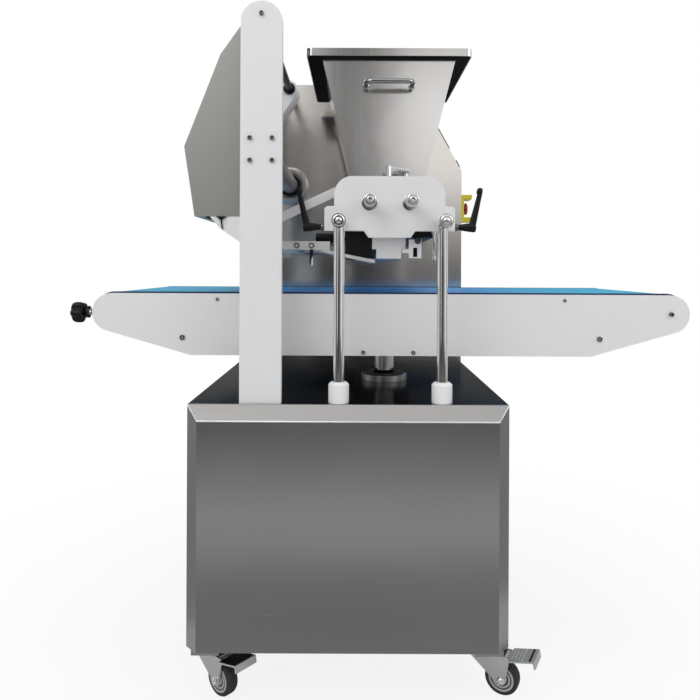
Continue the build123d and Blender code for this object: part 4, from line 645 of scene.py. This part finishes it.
wheels = {}
for hand, x, heading in CASTERS:
    ahead, across = caster_ways(heading)
    wheels[f"front_{hand}"] = Vector((x, CASTER_FRONT, AXLE_Z)) + ahead * TRAIL, across
    wheels[f"rear_{hand}"] = Vector((x, CASTER_REAR, AXLE_Z)), Vector((1, 0, 0))
for corner, (middle, across) in wheels.items():
    tread = Shape()
    tread.turned(middle, across, TREAD, 72)
    tread.piece(f"tread_{corner}", finishes["tyre"], f"wheel_{corner}", "tyre", f"caster_wheel_{corner}")
    core = Shape()
    core.turned(middle, across, CORE, 72)
    core.piece(f"wheel_core_{corner}", core_grey, f"wheel_{corner}", "tyre")

# %% [markdown]
# ## Caster hardware
# Bright hexagon nuts hold the axles, and four bolts hold each swivel plate. The brake pedals have a ribbed tread:
# black on the left one, bare zinc with a dark strip on the right one. A bump could draw the ribs, but they show
# against the floor, so each is a slab, skinned in the tilted directions of its own pedal.

# %% Nuts, bolts and pedal treads
PEDAL_TILT = radians(12)
PEDAL_PIN = (52, 82.3)  # ahead of the swivel's axis, and its height
RIBS = {"left": (8, 6, "black_plastic"), "right": (4, 8, "zinc")}  # number, pitch, finish
RIB_START, RIB_WIDTH, RIB_HALF, RIB_UP = 14, 3.4, 26, (4.6, 6.6)
PADS = {"left": (12, 63.5), "right": (55, 60)}  # along the pedal from its pin
PAD_HALF, PAD_UP = 27.4, (4.7, 5.8)
NUT_REACH = 20  # from the wheel's middle to its nuts


def pedal_bar(shape, x, heading, along, half, up, inset):
    """A slab across a brake pedal with slanted sides; along, half and up are measured from the pedal's pin."""
    ahead, across = caster_ways(heading)
    rising = ahead * cos(PEDAL_TILT) + Vector((0, 0, sin(PEDAL_TILT)))
    normal = Vector((0, 0, cos(PEDAL_TILT))) - ahead * sin(PEDAL_TILT)
    pin = Vector((x, CASTER_FRONT, PEDAL_PIN[1])) + ahead * PEDAL_PIN[0]
    rings = []
    for height, trim in ((up[0], 0), (up[1] - inset, 0), (up[1], inset)):
        spots = ((along[0] + trim, -half + trim), (along[1] - trim, -half + trim),
                 (along[1] - trim, half - trim), (along[0] + trim, half - trim))
        rings.append([pin + rising * a + across * s + normal * height for a, s in spots])
    shape.skin(rings)


for hand, x, heading in CASTERS:
    middle, across = wheels[f"front_{hand}"]
    axle_nuts = Shape()
    for side in (-1, 1):
        end = middle + across * side * NUT_REACH
        axle_nuts.turned(end, across * side, [(0, 9.5), (1.2, 9.5), (1.4, 9.2)])
        axle_nuts.turned(end, across * side, [
            (0, 7.4, hex_ring), (4.6, 7.4, hex_ring), (5.4, 6.9), (6.4, 5.4), (7.4, 4.2), (7.8, 3)])
    axle_nuts.piece(f"axle_nuts_{hand}", finishes["chrome"], f"caster_{hand}", "zinc")
    number, pitch, rib_finish = RIBS[hand]
    ribs = Shape()
    for step in range(number):
        start = RIB_START + step * pitch
        pedal_bar(ribs, x, heading, (start, start + RIB_WIDTH), RIB_HALF, RIB_UP, 0.6)
    ribs.piece(f"pedal_ribs_{hand}", finishes[rib_finish], f"pedal_{hand}", "zinc")
    pad = Shape()
    pedal_bar(pad, x, heading, PADS[hand], PAD_HALF, PAD_UP, 0.5)
    pad.piece(f"pedal_pad_{hand}", finishes["black_plastic"], f"pedal_{hand}", "black_plastic")

# %% Swivel plate bolts
PLATE_UNDERSIDE = 100
PLATE_BOLTS = [(dx, dy) for dx in (-29, 29) for dy in (-24, 24)]
mount_bolts = Shape()
for _, x, _ in CASTERS:
    for y in (CASTER_FRONT, CASTER_REAR):
        for dx, dy in PLATE_BOLTS:
            mount_bolts.turned((x + dx, y + dy, PLATE_UNDERSIDE), (0, 0, -1), [
                (0, 7), (1, 7), (1, 6.4, hex_ring), (4.2, 6.4, hex_ring), (4.8, 5.8)], 24)
mount_bolts.piece("mount_bolts", finishes["zinc"], "base", "zinc")

# %% [markdown]
# ## Clamping levers
# Two black levers hold the head. Each has a bullet-shaped hub that narrows towards the head, and a flat arm that
# leans outwards and ends in a small hooked grip. The arm is skinned from rounded sections whose inner and outer
# edges are listed, because the hook only bulges inwards.

# %% Levers
# rows of the hub are (along, radius), rows of the arm (along, inner edge, outer edge, half thickness)
HUB = ((0, 4.6), (0.6, 5.4), (2, 6.2), (10, 7.4), (22, 9.0), (34, 10.4), (42, 10.9), (46, 10.6), (47.5, 9.6),
       (48, 8))
ARM = ((0, -8, 8.2, 8), (12, -7.8, 7.8, 7.4), (40, -6.6, 6.8, 6.2), (62, -5.8, 6.0, 5.6), (72, -5.4, 5.8, 5.4),
       (76, -5.2, 5.7, 5.3), (78.5, -7.6, 5.6, 5.6), (84, -8.2, 5.4, 5.8), (89, -7.2, 4.8, 5.4),
       (91.5, -5.0, 3.4, 4.2), (92.3, -2.6, 1.6, 2.4))
HEAD_X = 18.5
LEVER_EAR = (148, -335, 1034)  # from the head's middle, then Y and Z
LEVER_LEAN = radians(13)
HUB_START, HUB_SHARE = 8, 40 / 48  # hub off the ear, and its length as a share of the listed one
ARM_ROOT, CAP_ROOT = 39.5, 46  # arm and hub's end cap, off the ear
ARM_SIDES = 16
ARM_SQUARENESS = 0.6  # 1 is an ellipse, less is squarer


def squarish(share):
    return abs(share) ** ARM_SQUARENESS * (1 if share > 0 else -1)


def lever(hand, side):
    shape = Shape()
    ear = Vector((HEAD_X + side * LEVER_EAR[0], *LEVER_EAR[1:]))
    outward = Vector((side, 0, 0))
    shape.turned(ear, outward, [(HUB_START + along * HUB_SHARE, radius) for along, radius in HUB])
    lean = Vector((side * sin(LEVER_LEAN), 0, cos(LEVER_LEAN)))
    wide = Vector((side * cos(LEVER_LEAN), 0, -sin(LEVER_LEAN)))
    root = ear + outward * ARM_ROOT
    angles = [2 * pi * step / ARM_SIDES for step in range(ARM_SIDES)]
    rings = []
    for along, inner, outer, half in ARM:
        middle = root + lean * along + wide * (inner + outer) / 2
        reach = (outer - inner) / 2
        rings.append([
            middle + wide * reach * squarish(cos(angle)) + Vector((0, half * squarish(sin(angle)), 0))
            for angle in angles
        ])
    shape.skin(rings)
    shape.piece(f"lever_{hand}", finishes["black_plastic"], f"lever_{hand}", "black_plastic", f"clamp_lever_{hand}")
    stud = Shape()
    stud.turned(ear, outward, [(-18, 5), (0.2, 5), (0.2, 7.6), (1.6, 8), (6.4, 8), (7.6, 7.4), (8.6, 4.4)])
    cap = [(0, 5.4), (2.6, 5.4), (3.1, 4.8), (3.1, 3.2), (1.2, 2.6, hex_ring)]
    stud.turned(ear + outward * CAP_ROOT, outward, cap)
    stud.piece(f"lever_stud_{hand}", bolt_steel, f"lever_{hand}", "black_plastic")


lever("left", -1)
lever("right", 1)

# %% [markdown]
# ## Tension knobs
# The belt's tension is set by black star knobs with deep lobes. A star is a turned form whose radius swings with
# the angle, so the ring helper makes it too; the lobes shrink at both faces, which rounds them like a moulded grip.

# %% Star knobs
STAR = ((0, 11.5), (0.8, 15), (2.4, 19), (5, 22.6), (9, 25), (14, 26), (22, 26), (26, 25.2), (28.6, 23.4),
        (30, 20.6))
LOBES = 5
LOBE_MEAN, LOBE_SWING, LOBE_BLUNT = 0.86, 0.14, 0.04
KNOB_X, NECK_X, STUD_X = -718.5, -690, -679
ALONG_BELT = (1, 0, 0)


def star_ring(angle):
    wave = cos(LOBES * angle)
    return LOBE_MEAN + LOBE_SWING * wave - LOBE_BLUNT * wave * wave


for hand, y in (("front", -297.5), ("rear", 227.5)):
    knob = Shape()
    lobes = [(along, radius, star_ring) for along, radius in STAR]
    knob.turned((KNOB_X, y, ROLLER_Z), ALONG_BELT, lobes + [(30, 13), (30, 12)], 100)
    knob.turned((NECK_X, y, ROLLER_Z), ALONG_BELT, [
        (0, 10.6), (3.4, 10.2), (6, 11.6), (8, 13.6), (11.4, 14), (12.4, 13.2), (12.4, 9)], 48)
    knob.piece(f"star_knob_{hand}", finishes["black_plastic"], f"tension_{hand}", "black_plastic",
               f"tension_knob_{hand}")
    stud = Shape()
    stud.turned((STUD_X, y, ROLLER_Z), ALONG_BELT, [
        (0, 7.5), (3.4, 7.5), (3.8, 7.1), (3.8, 5), (4.4, 4.6), (5, 5), (41.6, 5), (42.4, 4.3)], 32)
    stud.piece(f"tension_stud_{hand}", finishes["chrome"], f"tension_{hand}", "black_plastic")

# %% [markdown]
# ## Trim on the columns, the beam and the cabinet
# The cross pins end in a retaining ring and a domed screw, the feed rollers' shafts in a grooved nose with a centre
# hole, and the beam's flange has a raised rim and a weld round the tube. All of these catch light as bright rings and
# lines. Painting them on with a texture would fail from close by, so they are turned or swept as thin solids. The
# cabinet's lip gets a pale hem bead, partly a real folded edge and partly a painted highlight along it.

# %% Pin rings and shaft noses
PINS = ((-94, -475, 1040), (131, -475, 1040))
SHAFT_ENDS = {"left": (-27.5, -430, 1088), "right": (64.5, -430, 1088)}

pin_trim = Shape()
for end in PINS:
    pin_trim.turned(end, REARWARDS, [
        (6, 13.2), (6, 14.9), (6.6, 15.3), (10.4, 15.3), (11, 14.9), (11, 13.2)], 48)
    pin_trim.turned(end, FRONTWARDS, [(-2, 6.8), (0.4, 6.8), (1.4, 6.2), (2.4, 4.4), (2.9, 2), (3, 0.6)])
pin_trim.piece("pin_trim", finishes["chrome"], "base", "chrome")
for hand, end in SHAFT_ENDS.items():
    nose = Shape()
    nose.turned(end, FRONTWARDS, [
        (-2.4, 13.1), (-1.2, 13.1), (0, 12.4), (0.8, 11.2), (0.8, 9.8), (-0.6, 9.4), (-0.6, 8.6), (1.6, 7.8),
        (2.8, 6.2), (3.2, 4.6), (2.8, 3.6), (-3, 1.6)], 48)
    nose.piece(f"shaft_nose_{hand}", finishes["chrome"], f"feed_{hand}", "chrome")

# %% Beam flange and hem
BEAM_FLANGE = (UPRIGHT_X, 235.2, BEAM_Z)

flange_ring = Shape()
flange_ring.turned(BEAM_FLANGE, FRONTWARDS, [
    (0, 57), (3, 57), (5.6, 55.4), (7.4, 51), (8, 46), (7.4, 41), (5.6, 37), (3, 35.4), (0, 35.4)], 96)
flange_ring.piece("beam_flange_ring", steel_deep, "base", "stainless")
weld = Shape()
weld.turned(BEAM_FLANGE, FRONTWARDS, [(0, 34), (3, 31.5), (8, 29), (14, 27), (20, 25.6), (20, 24.6)], 72)
weld.piece("beam_weld", dark_steel, "base", "stainless")


def swept(shape, path, radius, sides=10):
    """A thin round bead along a path in the cabinet's front."""
    rings = []
    for step, point in enumerate(path):
        before, after = Vector(path[max(step - 1, 0)]), Vector(path[min(step + 1, len(path) - 1)])
        along = (after - before).normalized()
        side = along.cross(Vector((0, -1, 1))).normalized()
        over = side.cross(along)
        angles = [2 * pi * turn / sides for turn in range(sides)]
        rings.append([Vector(point) + (side * cos(a) + over * sin(a)) * radius for a in angles])
    shape.skin(rings)


HEM_PATH = [(-416.6, -428.6, 647.4), (-391.5, -454.6, 617.2), (246.5, -454.6, 617.2), (271.6, -428.6, 647.4)]
HEM_RADIUS = 1.7
# pale hem bead: partly a real folded edge, partly a painted highlight along the lip
hem_highlight = Shape()
swept(hem_highlight, HEM_PATH, HEM_RADIUS)
hem_highlight.piece("lip_hem", bright_bar, "base", "stainless")

# %% [markdown]
# ## Emergency stop
# The red mushroom button sits between the cheeks of a yellow guard. A mushroom is a turned form too: a domed cap on
# a stem. The collar round the stem is thin, so that the cap has room to be pushed in.

# %% Stop button
STOP = (RIGHT_X, 315, 1132)
RIGHTWARDS = (1, 0, 0)

mushroom = Shape()
mushroom.turned(STOP, RIGHTWARDS, [
    (6, 6.8), (19.9, 6.8), (19.9, 10), (20.3, 17.4), (21.3, 18.7), (23.6, 19), (26, 18.5), (28, 16.5),
    (29.3, 12.5), (29.8, 7), (30, 2)], 48)
mushroom.piece("stop_mushroom", finishes["stop_red"], "estop_button", "stop_red", "estop_button")
collar = Shape()
collar.turned(STOP, RIGHTWARDS, [
    (13.6, 15), (14.3, 15), (14.6, 14.6), (14.6, 8), (13.6, 8)], 48)
collar.piece("stop_collar", dark_steel, "base", "stop_yellow")

# %% [markdown]
# ## Hopper welds and lift wiper
# The handles are welded to the hopper's walls, and a small fillet of weld metal shows around each end. A turned
# ring with a hollow flank reads as that bead; the steel next to it would be polished back on the real hopper. The
# lift's ram rises through a black wiper ring, which is turned in the same way.

# %% Weld beads and lift wiper
HOPPER_WALLS = ((-280, FRONTWARDS), (76, REARWARDS))
HANDLE_ENDS, HANDLE_Z = (-35.5, 72.5), 1370
RAM_FOOT = (HEAD_X, -80, 665.5)

welds = Shape()
for wall, way in HOPPER_WALLS:
    for x in HANDLE_ENDS:
        welds.turned((x, wall, HANDLE_Z), way, [
            (-0.5, 8.4), (0.3, 8.1), (1.0, 7.2), (2.0, 6.6), (3.2, 6.2), (4.0, 6.05)])
welds.piece("handle_welds", steel_deep, "hopper", "stainless")
wiper = Shape()
wiper.turned(RAM_FOOT, (0, 0, 1), [(0, 26), (3.6, 26), (5.4, 24.6), (7, 21.4), (7.4, 19.4), (0, 19.4)], 48)
wiper.piece("ram_wiper", finishes["seal_black"], "base", "seal_black")

# %% [markdown]
# ## Small fittings
# A small black latch with a thin tail hangs below the console, two dark strips lie on the housing's right
# shoulder, a chrome pin hangs from the feed head beside the right column, and the die's latch has a black pad in
# its slot, painted shade in the hole, and a dark cap on its pin. They are only a few pixels each, but a machine
# without them looks like a drawing of one. Flat ones are skinned from their outline, and round ones are turned.

# %% Latches
CHAMFER, CHAMFER_SHARE = 1.2, 0.8  # depth, and size of the face that it leaves


def flat_catch(shape, outline, front, back):
    """A small moulded plate: its outline seen from the front, with chamfered front edges."""
    middle = sum((Vector((x, 0, z)) for x, z in outline), Vector()) / len(outline)
    rings = []
    for y, trim in ((back, 1.0), (front + CHAMFER, 1.0), (front, CHAMFER_SHARE)):
        spots = [middle + (Vector((x, 0, z)) - middle) * trim for x, z in outline]
        rings.append([spot + Vector((0, y, 0)) for spot in spots])
    shape.skin(rings)


SHADED_SLOT = ((74.2, 966.8), (83.8, 966.8), (83.8, 988.2), (74.2, 988.2))
CATCH = ((-363, 1052), (-339, 1052), (-345, 1047.5), (-350, 1044.5), (-354, 1044.5), (-358, 1048))
KEEPER = ((-389, 1052.2), (-373, 1052.2), (-375, 1046.6), (-378, 1046), (-384, 1048.6))

# painted shade: a black pad behind the latch's slot darkens the hole
slot_shade_pad = Shape()
flat_catch(slot_shade_pad, SHADED_SLOT, -315.6, -312)
slot_shade_pad.piece("latch_slot_pad", finishes["seal_black"], "die_latch", "seal_black")
latch = Shape()
flat_catch(latch, CATCH, -406, -400)
flat_catch(latch, KEEPER, -399, -386)
latch.turned((-351.6, -403, 1047), (0.13, 0, -1), [(0, 2.0), (12, 1.6), (22, 1.5), (23.4, 0.9)], 16)
latch.piece("console_latch", finishes["black_plastic"], "base", "black_plastic")

# %% Shoulder strips
CROWN = Vector((122.5, 0, 1512))  # where the housing's top meets its right shoulder
SHOULDER = Vector((150, 0, -267))  # from there to the shoulder's foot
STRIP_FRONT, STRIP_BACK = 252, 278
STRIP_RISE, STRIP_END_RISE, STRIP_ROOT = 4.2, 2.6, -0.5
STRIP_TAPER = 3
STRIPS = ((1379, 1314), (1280, 1256))  # Z of upper and lower end


def shoulder_strip(shape, start, end):
    """A dark strip along the sloped shoulder, between two heights."""
    outward = Vector((-SHOULDER.z, 0, SHOULDER.x)).normalized()
    rings = []
    for height, rise in (
        (start, STRIP_END_RISE), (start - STRIP_TAPER, STRIP_RISE),
        (end + STRIP_TAPER, STRIP_RISE), (end, STRIP_END_RISE),
    ):
        middle = CROWN + SHOULDER * ((height - CROWN.z) / SHOULDER.z)
        corners = ((STRIP_FRONT, STRIP_ROOT), (STRIP_FRONT, rise), (STRIP_BACK, rise), (STRIP_BACK, STRIP_ROOT))
        rings.append([middle + outward * up + Vector((0, y, 0)) for y, up in corners])
    shape.skin(rings)


strips = Shape()
for start, end in STRIPS:
    shoulder_strip(strips, start, end)
strips.piece("shoulder_strips", finishes["seal_black"], "base", "seal_black")

# %% Hanging pin and latch pin's cap
LATCH_PIN, PIN_CAP = (84.5, -318.2, 1004), (15, 6, 6, 4)

hanging_pin = Shape()
hanging_pin.turned((120, LEVER_EAR[1], 1025.4), (0, 0, -1), [
    (0, 6.4), (5, 6.4), (5.6, 5.8), (5.6, 3.6), (52, 3.6), (53, 3.0), (56, 3.0), (57, 4.6), (66, 4.6), (67.5, 3.4)])
hanging_pin.piece("hanging_pin", finishes["chrome"], "base", "chrome")
pin_cap = Shape()
socket_screw(pin_cap, LATCH_PIN, FRONTWARDS, *PIN_CAP)
pin_cap.piece("latch_pin_cap", dark_steel, "base", "stainless")

# %% [markdown]
# ## Studio
# The floor is pale, and the background is white because the world is white for what the camera and the metal see.
# The lamps are large and soft, so that shadows stay faint, and together with the world they light a white surface
# to about white. The lamp overhead is kept out of reflections, where its disc would blow out every level sheet.

# %% World
WORLD_LIGHT = 0.5  # strength of the world where it lights; where it is seen, it is 1

scene = bpy.context.scene
scene.view_settings.view_transform = "Standard"
world = bpy.data.worlds.new("studio")
scene.world = world
world.use_nodes = True
sky = Nodes(world.node_tree)
seen = sky.ray("Camera") | sky.ray("Glossy") | sky.ray("Transmission")
background = world.node_tree.nodes["Background"]
background.inputs["Color"].default_value = (1, 1, 1, 1)
sky.feed(background.inputs["Strength"], seen * (1 - WORLD_LIGHT) + WORLD_LIGHT)
print("world lights with", WORLD_LIGHT)

# %% Lamps
def lamp(name, place, target, size, power):
    data = bpy.data.lights.new(name, "AREA")
    data.shape = "DISK"
    data.size = size
    data.energy = power
    made = bpy.data.objects.new(name, data)
    made.location = place
    made.rotation_euler = (Vector(target) - Vector(place)).to_track_quat("-Z", "Y").to_euler()
    scene.collection.objects.link(made)
    print(name, "lamp of", power, "watts")
    return made


lamp("key", (-1.8, -2.6, 3.0), (0, 0, 0.8), 2.4, 34)
lamp("fill", (2.6, -1.6, 2.4), (0, 0, 0.8), 2.4, 20)
lamp("top", (0, 0.2, 4.2), (0, 0, 0), 3.0, 50).visible_glossy = False

# %% Floor
FLOOR_WHITE = 0.87  # share of plain white in the floor beside the machine, which keeps the rest for the shadow
SHADOW_FADE = (0.5, 1.8)  # metres from the machine's middle over which the floor turns all white


def sheet(name, corners, finish, *hidden_from):
    data = bpy.data.meshes.new(name)
    data.from_pydata(corners, [], [tuple(range(len(corners)))])
    data.materials.append(finish.material)
    made = bpy.data.objects.new(name, data)
    scene.collection.objects.link(made)
    for sense in hidden_from:
        setattr(made, f"visible_{sense}", False)


floor_finish = Finish("floor", {"Base Color": (0.9, 0.9, 0.9, 1), "Roughness": 0.9, "Specular IOR Level": 0.0})
centre = floor_finish.node("ShaderNodeVectorMath", {"operation": "LENGTH"}, {0: floor_finish.place()}, "Value")
far = floor_finish.ramp(centre, *SHADOW_FADE)
glow = floor_finish.node("ShaderNodeEmission", {}, {"Color": (1, 1, 1, 1), "Strength": 1.0})
lit = Value(floor_finish, floor_finish.shader.outputs[0])
share = (far * (1 - FLOOR_WHITE) + FLOOR_WHITE) * floor_finish.ray("Camera")
both = floor_finish.node("ShaderNodeMixShader", {}, {0: share, 1: lit, 2: glow})
floor_finish.feed(floor_finish.tree.nodes["Material Output"].inputs["Surface"], both)
sheet("floor", [(-9, -9, 0), (9, -9, 0), (9, 9, 0), (-9, 9, 0)], floor_finish)
print("floor laid")

# %% [markdown]
# ## Walls for the reflections
# Bare steel shows nothing but its surroundings, and in an all-white room it looks like paper. Photographers stand
# grey cards round a machine for that. Here, too, sheets of graded grey stand round it. They glow by themselves, so
# they need no lamp, and they are hidden from everything but reflections, so they neither light nor shade.

# %% Walls that only the metal sees
def studio_wall(name, corners, *profiles):
    """A glowing sheet that shows in reflections alone; each profile is an axis and its greys, which multiply."""
    finish = Finish(name, {"Base Color": (0, 0, 0, 1), "Specular IOR Level": 0.0, "Emission Strength": 1.0})
    glow = finish.greys(finish.axis(profiles[0][0]), profiles[0][1])
    for axis, stops in profiles[1:]:
        glow = finish.node("ShaderNodeVectorMath", {"operation": "MULTIPLY"}, {
            0: glow, 1: finish.greys(finish.axis(axis), stops)})
    finish.set({"Emission Color": glow})
    sheet(name, corners, finish, "camera", "diffuse", "transmission", "shadow", "volume_scatter")


studio_wall(
    "wall_front", [(-7, -5, 0), (7, -5, 0), (7, -5, 4.5), (-7, -5, 4.5)],
    ("X", [
        (-7, 0.6), (-1.7, 0.6), (-1.2, 0.55), (-0.5, 0.36), (-0.15, 0.12), (0.12, 0.2), (0.3, 0.75), (0.42, 1.0),
        (7, 1.0)]),
    ("Z", [(0, 0.12), (1.0, 0.16), (1.5, 0.5), (1.9, 0.9), (2.4, 1.0), (2.7, 0.85), (3.1, 0.6), (4.5, 0.6)]),
)
studio_wall("card_high", [(-1.5, -4.9, 2.5), (-0.45, -4.9, 2.5), (-0.45, -4.9, 3.6), (-1.5, -4.9, 3.6)],
            ("X", [(-1.5, 0.8), (-0.45, 0.8)]))
STRIP_Y, STRIP_WIDTH, STRIP_LOW, STRIP_HIGH = -4.2, 0.7, 0.3, 1.7
for hand, x in (("left", -2.6), ("right", 2.2)):
    across, up = (x, x + STRIP_WIDTH), (STRIP_LOW, STRIP_HIGH)
    corners = [(across[i], STRIP_Y, up[j]) for i, j in ((0, 0), (1, 0), (1, 1), (0, 1))]
    studio_wall(f"strip_{hand}", corners, ("Z", [(STRIP_LOW, 1.0), (STRIP_HIGH, 1.0)]))
studio_wall("card_lip", [(-1.2, -2.6, 4.4), (1.2, -2.6, 4.4), (1.2, -1.3, 4.4), (-1.2, -1.3, 4.4)],
            ("X", [(-1.2, 1.3), (1.2, 1.3)]))
studio_wall("ceiling", [(-5, -1.1, 4.6), (5, -1.1, 4.6), (5, 5, 4.6), (-5, 5, 4.6)],
            ("Y", [(-1.1, 1.0), (-0.5, 0.8), (0.3, 0.55), (1.2, 0.4), (5, 0.5)]))
print("front set")

# %% Walls behind and beside, and the floor's greys
studio_wall("wall_back", [(-7, 5, 0), (7, 5, 0), (7, 5, 3.5), (-7, 5, 3.5)],
            ("X", [(-7, 0.5), (-2, 0.4), (2, 0.2), (7, 0.3)]))
studio_wall("wall_left", [(-5, -7, 0), (-5, 7, 0), (-5, 7, 3.5), (-5, -7, 3.5)],
            ("Y", [(-7, 0.3), (-3, 0.2), (-1, 0.75), (1, 0.95), (2, 0.3), (7, 0.5)]))
studio_wall("wall_right", [(5, -7, 0), (5, 7, 0), (5, 7, 3.5), (5, -7, 3.5)],
            ("Y", [(-7, 0.8), (-3, 1.0), (-1.5, 0.4), (0, 0.45), (2, 0.9), (7, 0.4)]))
ON_FLOOR = 0.004
studio_wall("floor_front", [(x, y, ON_FLOOR) for x, y in ((-5, -0.6), (5, -0.6), (5, -5), (-5, -5))],
            ("Y", [(-5, 0.18), (-3, 0.2), (-2.1, 0.42), (-1.6, 0.82), (-1.4, 0.82), (-1.1, 0.32), (-0.6, 0.38)]),
            ("X", [(-5, 0.4), (-1.5, 0.6), (-0.8, 1.0), (0.8, 1.0), (1.5, 0.6), (5, 0.4)]))
side_corners = ((0.75, -0.6), (4.5, -0.6), (4.5, 2.5), (0.75, 2.5))
for hand, side in (("left", -1), ("right", 1)):
    studio_wall(f"floor_{hand}", [(side * x, y, ON_FLOOR) for x, y in side_corners],
                ("Y", [(-0.6, 0.38), (2.5, 0.45)]))
print("studio set")
